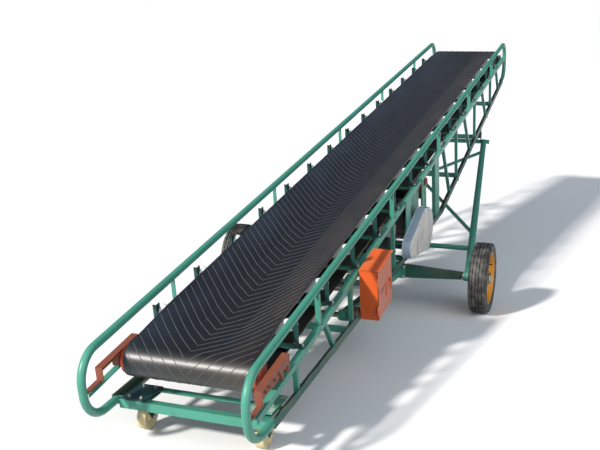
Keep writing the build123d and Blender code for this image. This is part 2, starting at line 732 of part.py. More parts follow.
def guard_bracket():
    """A wide and a narrow flat bar that carry the guard."""
    return as_node([outer_bar(DRIVE_U - 370, DRIVE_U - 250), outer_bar(DRIVE_U + 80, DRIVE_U + 110)])


def winch():
    """Rope drum that draws the legs in, with its gear case, brake and small motor."""
    case_y = 58 - FLANGE_IN
    drum_y = case_y + WINCH_CASE_L + 40
    drum_end = drum_y + WINCH_DRUM_L
    drum = cylinder_y(WINCH_X, WINCH_Z, WINCH_DRUM_R, drum_y, drum_end)
    cheeks = [cylinder_y(WINCH_X, WINCH_Z, 68, drum_y - WINCH_CHEEK_T, drum_y),
              cylinder_y(WINCH_X, WINCH_Z, 68, drum_end, drum_end + WINCH_CHEEK_T)]
    gear_case = cylinder_y(WINCH_X, WINCH_Z, 64, case_y, case_y + WINCH_CASE_L)
    motor_x, motor_z = WINCH_X + 120, WINCH_Z + 46
    link = side_slab(case_y, case_y + 56, [(WINCH_X, WINCH_Z - 40), (motor_x, motor_z - 30),
                                           (motor_x, motor_z + 30), (WINCH_X, WINCH_Z + 50)])
    small_motor = cylinder_y(motor_x, motor_z, 38, 12 - FLANGE_IN, 210 - FLANGE_IN)
    brake = cylinder_y(WINCH_X, WINCH_Z, 50, 16 - FLANGE_IN, case_y)
    shaft = cylinder_y(WINCH_X, WINCH_Z, WINCH_SHAFT_R, 4 - FLANGE_IN, FLANGE_IN - 4)
    return fused([drum, shaft, gear_case, link, small_motor, brake] + cheeks)


PANEL_U = (3370, 3488)    # plates between chord and stringer on the head side of the winch


def winch_brackets():
    """Plates for the winch's shaft on both chords, and a deep panel beside each."""
    u, w = to_slope(WINCH_X, WINCH_Z)
    pieces = []
    u0, u1 = u - 70, u + 70
    for side in SIDES.values():
        plate = slab(side * (FLANGE_IN - 9), side * (FLANGE_IN - 1),
                     [(u0, flange_w(u0)), (u1, flange_w(u1)), (u1, w + 40), (u0, w + 40)])
        foot = slab(side * (FLANGE_IN - 3), side * FLANGE_OUT, on_flange(u0, u1, 8))
        eye = crosswise(u, w, WINCH_SHAFT_R + BELT_GAP, 20, shift=side * (FLANGE_IN - 5))
        pieces.append(plate + foot - eye)
        foot_line = [(end_u, flange_w(end_u)) for end_u in PANEL_U]
        top_line = [(end_u, stringer_w(end_u) - STRINGER / 2 + WELD) for end_u in reversed(PANEL_U)]
        pieces.append(slab(side * (FLANGE_OUT - 25), side * FLANGE_OUT, foot_line + top_line))
    return as_node(pieces)


WALL = 2
ROOF_OVER = 14            # the rain roof stands this far past the head side and the door


HINGE_GAP = 9             # from the box's tail side to the middle of the hinge pins
HINGE_R = 6.5
HINGE_PIN_R = 3
DOOR_GAP = 1.5
DOOR_T = 2.4
BOX_OUT_Y = BOX_IN_Y + BOX_D
HINGE_U = BOX_U - BOX_L / 2 - HINGE_GAP
HINGE_SPOTS = [(-1, 100), (1, 100)]   # which way each hinge looks along w, and how far out its knuckle sits


def box_block(u0, u1, y0, y1, w0, w1):
    """Block on the right side, square to the slope, between two places in each direction."""
    return slope_box((u0 + u1) / 2, -(y0 + y1) / 2, (w0 + w1) / 2, u1 - u0, y1 - y0, w1 - w0)


def hinge_bar(low, high, radius):
    return rod(place(HINGE_U, -BOX_OUT_Y, BOX_W + low), place(HINGE_U, -BOX_OUT_Y, BOX_W + high), radius)


def control_box():
    """Hollow switch box with a rain roof, open toward the outside where its door closes it."""
    u0, u1 = BOX_U - BOX_L / 2, BOX_U + BOX_L / 2
    w0, w1 = BOX_W - BOX_H / 2, BOX_W + BOX_H / 2
    shell = box_block(u0, u1, BOX_IN_Y, BOX_OUT_Y, w0, w1)
    hollow = box_block(u0 + WALL, u1 - WALL, BOX_IN_Y + WALL, BOX_OUT_Y + 1, w0 + WALL, w1 - WALL)
    roof = box_block(u0 - 4, u1 + ROOF_OVER, BOX_IN_Y, BOX_OUT_Y + ROOF_OVER, w1 - 0.5, w1 + WALL)
    parts = [shell - hollow, roof]
    for way, reach in HINGE_SPOTS:
        knuckle = sorted((way * (reach - 8), way * (reach + 8)))
        pin = sorted((way * (reach - 46), way * (reach + 8)))
        parts.append(hinge_bar(*knuckle, HINGE_R))
        parts.append(hinge_bar(*pin, HINGE_PIN_R))
        low, high = BOX_W + knuckle[0], BOX_W + knuckle[1]
        parts.append(box_block(HINGE_U, u0 + 1, BOX_OUT_Y - 4, BOX_OUT_Y, low, high))
    return fused(parts)


def box_bracket():
    """Two flat bars that hold the switch box to the stringer and the chord."""
    return as_node([outer_bar(u - 15, u + 15) for u in (BOX_U - 80, BOX_U + 80)])


def control_door():
    """Door of the switch box with hinge barrels on its tail edge and a lever handle."""
    y0 = BOX_OUT_Y + DOOR_GAP
    edge_u, end_u = HINGE_U + 14, BOX_U + BOX_L / 2 + 2
    half = BOX_H / 2 - 6
    parts = [box_block(edge_u, end_u, y0, y0 + DOOR_T, BOX_W - half - 6, BOX_W + half)]
    for way, reach in HINGE_SPOTS:
        low, high = sorted((way * (reach - 43), way * (reach - 13)))
        tongue = box_block(HINGE_U, edge_u + 4, y0, y0 + DOOR_T, BOX_W + low, BOX_W + high)
        barrel = hinge_bar(low, high, HINGE_R)
        parts.append((barrel + tongue) - hinge_bar(low - 5, high + 5, HINGE_PIN_R + RUN_GAP))
    parts.append(box_block(BOX_U + 70, BOX_U + 84, y0, y0 + 16, BOX_W - 4, BOX_W + 10))
    parts.append(box_block(BOX_U + 72, BOX_U + 82, y0 + 12, y0 + 18, BOX_W - 48, BOX_W + 10))
    return fused(parts)


def chord_at(x):
    """Height of the lower chord's middle at ground distance x."""
    u = x / cos(SLOPE)
    for _ in range(5):
        w = chord_w(u)
        u = (x + w * sin(SLOPE)) / cos(SLOPE)
    return place(u, 0, chord_w(u)).Z


def lower_arm():
    """Two arms from the chord pivot back to the axle."""
    parts = []
    back_x = WHEEL_X - AXLE / 2
    for side in SIDES.values():
        y0, y1 = side * (ARM_Y - 20), side * (ARM_Y + 20)
        tube = side_slab(y0, y1, [(ARM_PIVOT_X, ARM_PIVOT_Z - 25), (back_x, WHEEL_R - 25),
                                  (back_x, WHEEL_R + 25), (ARM_PIVOT_X, ARM_PIVOT_Z + 25)])
        eye = cylinder_y(ARM_PIVOT_X, ARM_PIVOT_Z, 30, side * ARM_Y - 24, side * ARM_Y + 24)
        parts.append(tube + eye - cylinder_y(ARM_PIVOT_X, ARM_PIVOT_Z, PIVOT_R + RUN_GAP, -RAIL_Y, RAIL_Y))
    return as_node(parts)


def pivot_shaft():
    """Shaft across the frame that the lower arms turn on, in a block on each chord."""
    u, _ = to_slope(ARM_PIVOT_X, ARM_PIVOT_Z)
    parts = [cylinder_y(ARM_PIVOT_X, ARM_PIVOT_Z, PIVOT_R, 10 - RAIL_Y, RAIL_Y - 10)]
    for side in SIDES.values():
        parts.append(slab(side * (FLANGE_IN + 1), side * FLANGE_OUT, on_flange(u - 40, u + 40, 60)))
    return fused(parts)


def axle_beam():
    """Box beam, deep in the middle and tapered to the wheels, with the spindles at its ends."""
    parts = [Pos(*ground(WHEEL_X, 0, WHEEL_R)) * Box(AXLE, 2 * AXLE_DEEP_Y, AXLE_DEEP)]
    for side in SIDES.values():
        deep = Plane(origin=ground(WHEEL_X, side * AXLE_DEEP_Y, WHEEL_R), z_dir=(0, side, 0), x_dir=(1, 0, 0))
        thin = Plane(origin=ground(WHEEL_X, side * AXLE_END_Y, WHEEL_R), z_dir=(0, side, 0), x_dir=(1, 0, 0))
        parts.append(loft([deep * Rectangle(AXLE, AXLE_DEEP), thin * Rectangle(AXLE, AXLE_THIN)], ruled=True))
        start_y, end_y = side * (AXLE_END_Y - 3), side * (WHEEL_OUT_Y - 6)
        parts.append(cylinder_y(WHEEL_X, WHEEL_R, SPINDLE_R, start_y, end_y))
    return fused(parts)


def wheel_tyre(side):
    """Road tyre with square shoulders; its treads are drawn in the scene."""
    inner = WHEEL_IN_Y
    profile = [(RIM_R, RIM_SET_IN), (RIM_R + 20, 0), (WHEEL_R - 11, 4)]
    edge = [(r, inner + a) for r, a in profile]
    mirror = [(r, WHEEL_OUT_Y - a) for r, a in reversed(profile)]
    crown = [(WHEEL_R, inner + 26), (WHEEL_R, WHEEL_OUT_Y - 26)]
    spots = [Vector(r, 0, side * a) for r, a in edge + crown + mirror]
    ring = revolve(Face(Wire(Polyline(*spots, close=True))), axis=Axis.Z)
    return Pos(*ground(WHEEL_X, 0, WHEEL_R)) * Rot(-90, 0, 0) * ring


def wheel_rim(side):
    """Dished steel rim with its hub."""
    inner = WHEEL_IN_Y
    outer = WHEEL_OUT_Y - RIM_SET_IN
    barrel = cylinder_y(WHEEL_X, WHEEL_R, RIM_R, side * (inner + RIM_SET_IN), side * outer)
    bowl = cylinder_y(WHEEL_X, WHEEL_R, RIM_R - 8, side * (inner + 66), side * WHEEL_OUT_Y)
    back = cylinder_y(WHEEL_X, WHEEL_R, RIM_R - 8, side * inner, side * (inner + 56))
    hub = cylinder_y(WHEEL_X, WHEEL_R, 38, side * (inner + 6), side * (WHEEL_OUT_Y - 10))
    bore = cylinder_y(WHEEL_X, WHEEL_R, SPINDLE_R + RUN_GAP, side * (inner - 10), side * (WHEEL_OUT_Y + 10))
    return barrel - bowl - back + hub - bore


def chord_slope(x):
    return atan2(chord_at(x + 50) - chord_at(x - 50), 100)


def leg_top_z():
    """Height of the leg frame's top tube, below the rollers that bear on the chords."""
    return chord_at(LEG_TOP_X) - CHORD / 2 / cos(chord_slope(LEG_TOP_X)) - ROLLER_GAP - TUBE_BELOW


def leg_point(side, share, below=0):
    """Point on a leg's middle line, share 0 at the foot and 1 at the top, or below the legs' plane."""
    foot = ground(WHEEL_X, side * LEG_FOOT_Y, WHEEL_R)
    top = ground(LEG_TOP_X, side * LEG_TOP_Y, leg_top_z())
    square = (top - foot).cross(Vector(0, 1, 0)).normalized()
    return foot + (top - foot) * share - square * below


def leg_tubes():
    """Two splayed tubes with an eye round each spindle."""
    pieces = []
    for side in SIDES.values():
        tube = rod(leg_point(side, 0), leg_point(side, 1), LEG_R)
        eye = cylinder_y(WHEEL_X, WHEEL_R, 32, side * (LEG_FOOT_Y - 24), side * (LEG_FOOT_Y + 24))
        near, far = side * (LEG_FOOT_Y - 100), side * (LEG_FOOT_Y + 100)
        bore = cylinder_y(WHEEL_X, WHEEL_R, SPINDLE_R + RUN_GAP, near, far)
        pieces.append(tube + eye - bore)
    return as_node(pieces)


def leg_braces():
    """Cross tube at the top, a tie low down and two crossed diagonals, one passing under the other."""
    z = leg_top_z()
    parts = [rod(ground(LEG_TOP_X, -LEG_TOP_Y - 50, z), ground(LEG_TOP_X, LEG_TOP_Y + 50, z), TOP_TUBE_R),
             rod(leg_point(-1, 0.155), leg_point(1, 0.155), 17)]
    for side in SIDES.values():
        below = (1 + side) * (LEG_BRACE_R + 1)
        parts.append(rod(leg_point(side, 0.245, below), leg_point(-side, 0.93, below), LEG_BRACE_R))
    cut = []
    for part in parts:
        for side in SIDES.values():
            part = part - rod(leg_point(side, -0.02), leg_point(side, 1), LEG_R)
        cut.append(max(part.solids(), key=lambda solid: solid.volume))
    return as_node(cut)


def roller_centre():
    """Ground x, z of the roller that bears on each chord, square below it."""
    slope = chord_slope(LEG_TOP_X)
    reach = CHORD / 2 + ROLLER_GAP + CHORD_ROLLER_R
    return LEG_TOP_X, chord_at(LEG_TOP_X) - reach / cos(slope)


def chord_rollers():
    """Rollers under the chords in cheeks on the leg frame's top tube."""
    pieces = []
    x, z = roller_centre()
    for side in SIDES.values():
        y = side * RAIL_Y
        roller = cylinder_y(x, z, CHORD_ROLLER_R, y - 13, y + 13)
        pin = cylinder_y(x, z, 8, y - 20, y + 20)
        cheeks = []
        for out in (-1, 1):
            y0, y1 = y + out * 15, y + out * 19.5
            top_z = z + 14
            cheeks.append(side_slab(y0, y1, [(x - 18, top_z), (x + 18, top_z), (x + 24, leg_top_z()),
                                             (x - 24, leg_top_z())]))
        whole = fused([roller, pin] + cheeks)
        pieces.append(whole - cylinder_y(x, leg_top_z(), TOP_TUBE_R, y - 60, y + 60))
    return as_node(pieces)


BEAM_TOP_Z = 182
FRONT_BEAM_LOW_Z = 142    # between the side frames
BEAM_LEG = 40
BEAM_T = 4
FRONT_BEAM_X = 270        # outer faces of the two tail beams' upright flanges
REAR_BEAM_X = 455
PAD_X = {"left": (275, 452), "right": (345, 547)}
PAD_IN_Y = RAIL_Y - 140
PAD_OUT_Y = RAIL_Y - 25


def tail_angle(x, way, low_z, half):
    """Cross angle whose level flange lies on top and points along way from its upright flange at x."""
    upright = ground(x + way * BEAM_T / 2, 0, (BEAM_TOP_Z + low_z) / 2)
    level = ground(x + way * BEAM_LEG / 2, 0, BEAM_TOP_Z - BEAM_T / 2)
    return (Pos(*upright) * Box(BEAM_T, 2 * half, BEAM_TOP_Z - low_z)
            + Pos(*level) * Box(BEAM_LEG, 2 * half, BEAM_T))


def tail_beam():
    """Two cross angles above the casters: the front one on the chords' flanges, the rear one between them."""
    flange_z = chord_at(FRONT_BEAM_X + BEAM_T) - (CHORD / 2 - CHORD_T) / cos(chord_slope(FRONT_BEAM_X))
    front = tail_angle(FRONT_BEAM_X, 1, FRONT_BEAM_LOW_Z, FLANGE_IN - 0.3)
    front = front + tail_angle(FRONT_BEAM_X, 1, flange_z + 0.3, FLANGE_OUT)
    rear = tail_angle(REAR_BEAM_X, -1, CASTER_TOP_Z + CASTER_PLATE_T, FLANGE_IN)
    for side in SIDES.values():
        front = front - rail_sleeve(side)
    return as_node([front, rear])


def rail_sleeve(side):
    """Room round the end of a tube loop, cut from what stands by it."""
    far = TAIL_JOIN[0] + 92
    return rod(place(TAIL_JOIN[0] - 40, side * RAIL_Y, chord_w(TAIL_JOIN[0] - 40)),
               place(far, side * RAIL_Y, chord_w(far)), RAIL_R + 0.3)


def caster_pads():
    """Flat plates on the tail beams; the longer one has a hole to hitch the machine by."""
    pieces = []
    for name, side in SIDES.items():
        x0, x1 = PAD_X[name]
        spot = ground((x0 + x1) / 2, side * (PAD_IN_Y + PAD_OUT_Y) / 2, BEAM_TOP_Z + CASTER_PLATE_T / 2)
        pad = Pos(*spot) * Box(x1 - x0, PAD_OUT_Y - PAD_IN_Y, CASTER_PLATE_T)
        hole_low = ground(HITCH_X, side * HITCH_Y, BEAM_TOP_Z - CASTER_PLATE_T)
        hole_high = ground(HITCH_X, side * HITCH_Y, BEAM_TOP_Z + 2 * CASTER_PLATE_T)
        pieces.append(pad - rod(hole_low, hole_high, HITCH_R) if x1 > HITCH_X + HITCH_R else pad)
    return as_node(pieces)


def caster_plate(side):
    """Plate under the tail beams with the caster's swivel pin."""
    x0, x1 = FRONT_BEAM_X + BEAM_T, REAR_BEAM_X
    spot = ground((x0 + x1) / 2, side * CASTER_Y, CASTER_TOP_Z + CASTER_PLATE_T / 2)
    pin_low = ground(CASTER_X - CASTER_TRAIL, side * CASTER_Y, CASTER_TOP_Z - 16)
    pin_top = ground(CASTER_X - CASTER_TRAIL, side * CASTER_Y, CASTER_TOP_Z)
    return Pos(*spot) * Box(x1 - x0, 84, CASTER_PLATE_T) + rod(pin_low, pin_top, CASTER_PIN_R)


def caster_fork(side):
    swivel = ground(CASTER_X - CASTER_TRAIL, side * CASTER_Y, 0)
    crown_z = CASTER_TOP_Z - 5
    crown = rod(Vector(swivel.X, swivel.Y, crown_z - 6), Vector(swivel.X, swivel.Y, crown_z), 30)
    hole_r = CASTER_PIN_R + RUN_GAP
    hole = rod(Vector(swivel.X, swivel.Y, crown_z - 20), Vector(swivel.X, swivel.Y, crown_z + 20), hole_r)
    hub = ground(CASTER_X, side * CASTER_Y, CASTER_R)
    parts = [crown]
    for cheek in (-1, 1):
        y = hub.Y + cheek * (CASTER_W / 2 + 5)
        spots = [Vector(swivel.X - 22, y, crown_z - 6), Vector(swivel.X + 22, y, crown_z - 6),
                 Vector(hub.X + 14, y, CASTER_R),
                 Vector(hub.X, y, CASTER_R - 14), Vector(hub.X - 14, y, CASTER_R)]
        face = Face(Wire(Polyline(*spots, close=True)))
        parts.append(extrude(face, 2, dir=(0, 1, 0), both=True))
    parts.append(Pos(swivel.X, swivel.Y, crown_z - 4) * Box(44, CASTER_W + 14, 4))
    axle_half = CASTER_W / 2 + 9
    parts.append(cylinder_y(CASTER_X, CASTER_R, CASTER_PIN_R, hub.Y - axle_half, hub.Y + axle_half))
    return fused(parts) - hole


def caster_wheel(side):
    hub = ground(CASTER_X, side * CASTER_Y, CASTER_R)
    half = CASTER_W / 2
    tread = cylinder_y(CASTER_X, CASTER_R, CASTER_R, hub.Y - half, hub.Y + half)
    tread = chamfer(tread.edges().filter_by(GeomType.CIRCLE), 4)
    return tread - cylinder_y(CASTER_X, CASTER_R, CASTER_PIN_R + RUN_GAP, hub.Y - 60, hub.Y + 60)


def carriage_stops():
    """Stop lugs under the chords at both ends of the leg rollers' travel."""
    pieces = []
    for x in (STOP_LOW_X, STOP_HIGH_X):
        u, _ = to_slope(x, chord_at(x))
        low = chord_w(u) - CHORD / 2 / cos(chord_slope(x) - SLOPE)
        for side in SIDES.values():
            slope = tan(chord_slope(x) - SLOPE)
            pieces.append(slab(side * (RAIL_Y - 5), side * (RAIL_Y + 15),
                               [(u - 10, low - 10 * slope), (u + 10, low + 10 * slope), (u + 10, low - 30),
                                (u - 10, low - 30)]))
    return as_node(pieces)


def nodes():
    """Every node with its solids, in the order of the report's list."""
    made = {}
    for name, side in SIDES.items():
        made["rail_" + name] = rail(side)
        made["lower_chord_" + name] = lower_chord(side)
        made["stringer_" + name] = stringer(side)
        made["side_struts_" + name] = side_struts(side)
        made["wing_rollers_" + name] = wing_rollers(side)
        made["idler_brackets_" + name] = idler_brackets(side)
        made["take_up_" + name] = take_up(side)
        made["caster_plate_" + name] = caster_plate(side)
        made["caster_fork_" + name] = caster_fork(side)
        made["caster_wheel_" + name] = caster_wheel(side)
        made["wheel_tyre_" + name] = wheel_tyre(side)
        made["wheel_rim_" + name] = wheel_rim(side)
    made["cross_ties"] = cross_ties()
    made["idler_bars"] = idler_bars()
    made["centre_rollers"] = centre_rollers()
    made["belt_carrying_run"] = belt_carrying_run()
    made["belt_return_run"] = belt_return_run()
    made["tail_pulley"] = pulley(TAIL_U, TAIL_W, TAIL_R, 15, TAKE_UP_OUT_Y - 7)
    made["head_pulley"] = pulley(HEAD_U, HEAD_W, HEAD_R, 17, FLANGE_IN)
    made["drive_drum"] = pulley(DRIVE_U, DRIVE_W, DRIVE_R, DRIVE_SHAFT_R, GUARD_IN_Y - 4)
    made["bend_rollers"] = bend_rollers()
    made["return_rollers"] = return_rollers()
    made["return_brackets"] = return_brackets()
    made["tail_bearings"] = tail_bearings()
    made["head_bearings"] = head_bearings()
    made["drive_plates"] = drive_plates()
    made["drum_bearings"] = drum_bearings()
    made["guard_bracket"] = guard_bracket()
    made["motor"] = motor()
    made["terminal_box"] = terminal_box()
    made["motor_mount"] = motor_mount()
    made["drive_guard"] = guard()
    made["winch"] = winch()
    made["winch_brackets"] = winch_brackets()
    made["control_box"] = control_box()
    made["box_bracket"] = box_bracket()
    made["control_door"] = control_door()
    made["tail_beam"] = tail_beam()
    made["caster_pads"] = caster_pads()
    made["pivot_shaft"] = pivot_shaft()
    made["lower_arms"] = lower_arm()
    made["axle_beam"] = axle_beam()
    made["leg_tubes"] = leg_tubes()
    made["leg_braces"] = leg_braces()
    made["chord_rollers"] = chord_rollers()
    made["carriage_stops"] = carriage_stops()
    return made


if __name__ == "__main__":
    os.makedirs("parts", exist_ok=True)
    for node, shape in nodes().items():
        export_step(shape, f"parts/{node}.step")
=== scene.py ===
"""Looks of the portable belt conveyor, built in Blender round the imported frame.

Lengths are metres, and millimetres in mm(...), in the frame's own axes: +X from tail to head, +Y left,
+Z up, ground at z = 0.
Slope coordinates u, w follow part.py: u runs up along the top rail and w stands square to it.
"""
import math

import bmesh
import bpy
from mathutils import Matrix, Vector


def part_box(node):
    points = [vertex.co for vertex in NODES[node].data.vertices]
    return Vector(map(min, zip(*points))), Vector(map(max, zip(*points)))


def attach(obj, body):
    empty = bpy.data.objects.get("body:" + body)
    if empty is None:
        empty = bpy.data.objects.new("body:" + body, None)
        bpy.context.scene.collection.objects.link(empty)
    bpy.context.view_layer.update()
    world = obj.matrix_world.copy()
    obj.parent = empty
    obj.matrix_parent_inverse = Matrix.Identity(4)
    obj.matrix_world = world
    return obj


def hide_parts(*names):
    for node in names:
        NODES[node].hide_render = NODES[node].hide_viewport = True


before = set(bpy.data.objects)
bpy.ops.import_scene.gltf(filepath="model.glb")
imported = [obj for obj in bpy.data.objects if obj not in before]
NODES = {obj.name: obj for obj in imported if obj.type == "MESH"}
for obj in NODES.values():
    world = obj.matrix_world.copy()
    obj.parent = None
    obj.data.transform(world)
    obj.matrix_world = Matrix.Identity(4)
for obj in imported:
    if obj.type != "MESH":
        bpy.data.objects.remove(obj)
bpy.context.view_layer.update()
SIDES = {"left": 1, "right": -1}

# Driving sizes shared with the CAD part
INCLINE = math.radians(10.33)
RAIL_START_Z = 0.45
TAIL_END_X = 0.0014       # from the rail line's start to the end of the tail loops
CENTRE_X = TAIL_END_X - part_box("rail_left")[0].x
RAIL_Y = 0.37
FLANGE_IN, FLANGE_OUT = 0.35, 0.385     # edges of the lower chords' level flanges
BELT_HALF = 0.3
FACE_HALF = BELT_HALF + 0.015           # half the face of every drum
BELT_T = 0.008
BELT_GAP = 0.0004
BELT_TOP_W = -0.063
TAIL_U = 0.286
TAIL_R = 0.0665
HEAD_U = 6.7
HEAD_R = 0.08
BEND_R = 0.03
BEND_GAP_U = 0.125
BEND_W = -0.2694
DRIVE_X, DRIVE_Z, DRIVE_R = 2.88, 0.485, 0.075
TROUGH = math.radians(17)
TROUGH_CORNER_Y = 0.106
TROUGH_FLOOR_W = -0.098
IDLER_U0, IDLER_PITCH, IDLER_COUNT = 0.626, 0.432, 14
IDLER_R, IDLER_WING_L, IDLER_CENTRE_L = 0.03, 0.22, 0.19
BRACKET_Y = 0.344
STRINGER = 0.03
WHEEL_X, WHEEL_R, WHEEL_W, WHEEL_OUT_Y = 2.709, 0.227, 0.12, 0.909
RIM_R = 0.164
MOTOR_X, MOTOR_Z, MOTOR_OUT_Y = 2.44, 0.45, 0.33
WINCH_X, WINCH_Z = 3.18, 0.68
WINCH_CASE_Y, WINCH_BRAKE_Y = 0.292, 0.334
GUARD_IN_Y, GUARD_T = 0.396, 0.058
# Centre and radius of the rounds inside the guard's outline: drum, motor and tightener
GUARD_ROUNDS = [(DRIVE_X, DRIVE_Z, 0.15), (MOTOR_X, MOTOR_Z, 0.07), (2.768, 0.622, 0.028)]
BOX_U, BOX_W, BOX_L, BOX_H, BOX_OUT_Y = 1.57, -0.304, 0.27, 0.29, 0.494
CASTER_X, CASTER_Y, CASTER_R, CASTER_W, CASTER_TRAIL = 0.4, 0.287, 0.0625, 0.046, 0.035
CASTER_TOP_Z = 0.152
CASTER_PLATE_TOP_Z = 0.188
ARM_PIVOT_X, ARM_PIVOT_Z, ARM_Y = 1.48, 0.28, 0.305

# Camera fitted to the photograph, in ground distances from the tail's end
CAMERA_SPOT = (-2.946, -1.693, 1.752)
CAMERA_YAW = 20.34        # degrees to the left of +X
CAMERA_PITCH = 11.9       # degrees below level
CAMERA_FOCAL = 899.0      # in pixels of the photograph
PHOTO_W = 600


def place(u, y, w):
    """Point of the frame at slope coordinates."""
    x = u * math.cos(INCLINE) - w * math.sin(INCLINE) - CENTRE_X
    z = RAIL_START_Z + u * math.sin(INCLINE) + w * math.cos(INCLINE)
    return Vector((x, y, z))


def ground(x, y, z):
    return Vector((x - CENTRE_X, y, z))


def to_slope(x, z):
    """Slope coordinates of a point at ground distance x and height z."""
    rise = z - RAIL_START_Z
    return (x * math.cos(INCLINE) + rise * math.sin(INCLINE),
            -x * math.sin(INCLINE) + rise * math.cos(INCLINE))


ALONG = place(1, 0, 0) - place(0, 0, 0)
UPWARD = place(0, 0, 1) - place(0, 0, 0)
FORWARD, ACROSS, UP = Vector((1, 0, 0)), Vector((0, 1, 0)), Vector((0, 0, 1))
LEVEL = (FORWARD, ACROSS, UP)           # axes of what lies square to the ground
ORIGIN = Vector((0, 0, 0))
DRIVE_U, DRIVE_W = to_slope(DRIVE_X, DRIVE_Z)


def mm(*spots):
    """A profile of pairs given in millimetres."""
    return [(run / 1000, radius / 1000) for run, radius in spots]


def around(count, shift=0.0):
    """Directions spread evenly round the cross axis, the first one shifted by a share of a step."""
    angles = [math.tau * (i + shift) / count for i in range(count)]
    return [Vector((math.cos(a), 0, math.sin(a))) for a in angles]


def add_camera():
    data = bpy.data.cameras.new("camera")
    data.sensor_width = 36
    data.lens = CAMERA_FOCAL / PHOTO_W * data.sensor_width
    spot = bpy.data.objects.new("camera", data)
    spot.location = ground(*CAMERA_SPOT)
    spot.rotation_euler = (math.radians(90 - CAMERA_PITCH), 0, math.radians(CAMERA_YAW - 90))
    bpy.context.collection.objects.link(spot)
    bpy.context.scene.camera = spot


add_camera()


# Finishes
def math_node(operation, reflected=False):
    """Method that puts an amount and what stands beside it through a Math node, in their written order."""
    def method(self, *others):
        values = (*others, self) if reflected else (self, *others)
        node = self.finish.node("ShaderNodeMath", {"operation": operation}, dict(enumerate(values)))
        return Amount(self.finish, node.outputs[0])
    return method


class Amount:
    """A shader number; arithmetic on it adds Math nodes to its finish."""

    def __init__(self, finish, socket):
        self.finish = finish
        self.socket = socket

    __add__ = __radd__ = math_node("ADD")
    __sub__ = math_node("SUBTRACT")
    __rsub__ = math_node("SUBTRACT", reflected=True)
    __mul__ = __rmul__ = math_node("MULTIPLY")
    __abs__ = math_node("ABSOLUTE")
    fract = math_node("FRACT")

    def fade(self, low, high):
        """0 below low and 1 above high, smooth between."""
        node = self.finish.node("ShaderNodeMapRange", {"interpolation_type": "SMOOTHSTEP"},
                                {"Value": self, "From Min": low, "From Max": high})
        return Amount(self.finish, node.outputs[0])


class Tree:
    """A node tree: each node gets its settings first, then the values or links of its sockets."""

    def __init__(self, tree):
        self.tree = tree

    def node(self, kind, settings=None, sockets=None):
        node = self.tree.nodes.new(kind)
        for key, value in (settings or {}).items():
            setattr(node, key, value)
        for key, value in (sockets or {}).items():
            self.join(value, node.inputs[key])
        return node

    def join(self, value, socket):
        if isinstance(value, Amount):
            value = value.socket
        if isinstance(value, bpy.types.NodeSocket):
            self.tree.links.new(value, socket)
        else:
            socket.default_value = value

    def part(self, vector, index):
        """One of a vector's three numbers."""
        return Amount(self, self.node("ShaderNodeSeparateXYZ", None, {0: vector}).outputs[index])


class Finish(Tree):
    """A node material with one Principled shader and helpers for its patterns."""

    def __init__(self, name, colour, roughness=0.5, metallic=0.0, **more):
        self.material = bpy.data.materials.new(name)
        self.material.use_nodes = True
        super().__init__(self.material.node_tree)
        self.shader = self.tree.nodes["Principled BSDF"]
        self.shader.inputs["Base Color"].default_value = (*colour, 1)
        self.shader.inputs["Roughness"].default_value = roughness
        self.shader.inputs["Metallic"].default_value = metallic
        for key, value in more.items():
            self.shader.inputs[key.replace("_", " ")].default_value = value
        self.colour = (*colour, 1)
        self.material.diffuse_color = (*colour, 1)

    def spot(self):
        return self.node("ShaderNodeTexCoord").outputs["Object"]

    def axis(self, index):
        """One of the object's coordinates."""
        return self.part(self.spot(), index)

    def noise(self, scale, detail=3, stretch=(1, 1, 1)):
        shape = self.node("ShaderNodeMapping", None, {"Vector": self.spot(), "Scale": stretch})
        cloud = self.node("ShaderNodeTexNoise", None,
                          {"Vector": shape.outputs[0], "Scale": scale, "Detail": detail})
        return Amount(self, cloud.outputs["Fac"])

    def facing(self, index):
        """How far a surface faces along one of the frame's axes."""
        return self.part(self.node("ShaderNodeNewGeometry").outputs["Normal"], index)

    def tint(self, amount, colour):
        """Lays a colour over what is there, by an amount from 0 to 1."""
        mix = self.node("ShaderNodeMix", {"data_type": "RGBA", "clamp_factor": True},
                        {"Factor": amount, 6: self.colour, 7: (*colour, 1)})
        self.colour = mix.outputs[2]
        self.join(self.colour, self.shader.inputs["Base Color"])
        return self

    def rough(self, amount):
        self.join(amount, self.shader.inputs["Roughness"])
        return self

    def bump(self, height, strength=0.3, distance=0.001):
        node = self.node("ShaderNodeBump", None,
                         {"Strength": strength, "Distance": distance, "Height": height})
        self.join(node.outputs[0], self.shader.inputs["Normal"])
        return self


def darker(colour, share, lift=0.0):
    return tuple(c * share + lift for c in colour)


def paint(name, colour, chip, roughness=0.42, wear=0.6, dust=(0.2, 0.17, 0.11), dust_and_light_share=0.15, rust=0.2):
    """Brushed-on enamel: colour drift, dust where it lies level, chips in patches and rust that runs down."""
    made = Finish(name, colour, roughness, Coat_Weight=0.12, Coat_Roughness=0.3)
    made.tint((made.noise(3.5, 4) - 0.35) * 0.9, darker(colour, 0.68))
    made.tint(made.noise(32, 5).fade(0.55, 0.78) * 0.25, darker(colour, 0.42, 0.008))
    # Tint on level faces: dust, and where its share is large, as on the chords, also painted light on their
    # lit tops
    level = made.facing(2).fade(0.5, 1.0)
    made.tint(level * made.noise(8, 4).fade(0.38, 0.72) * dust_and_light_share, dust)
    chips = (made.noise(95, 2) * made.noise(7, 3)).fade(wear * 0.7, wear * 0.7 + 0.04)
    made.tint(chips * 0.85, chip)
    runs = made.noise(46, 3, (1, 1, 0.16)).fade(0.64, 0.8)
    made.tint(runs * made.noise(5, 2).fade(0.48, 0.7) * rust, (0.13, 0.045, 0.02))
    made.rough(made.noise(24, 3) * 0.25 + (roughness - 0.1))
    return made.bump(made.noise(160, 3) - chips * 0.6, 0.1)


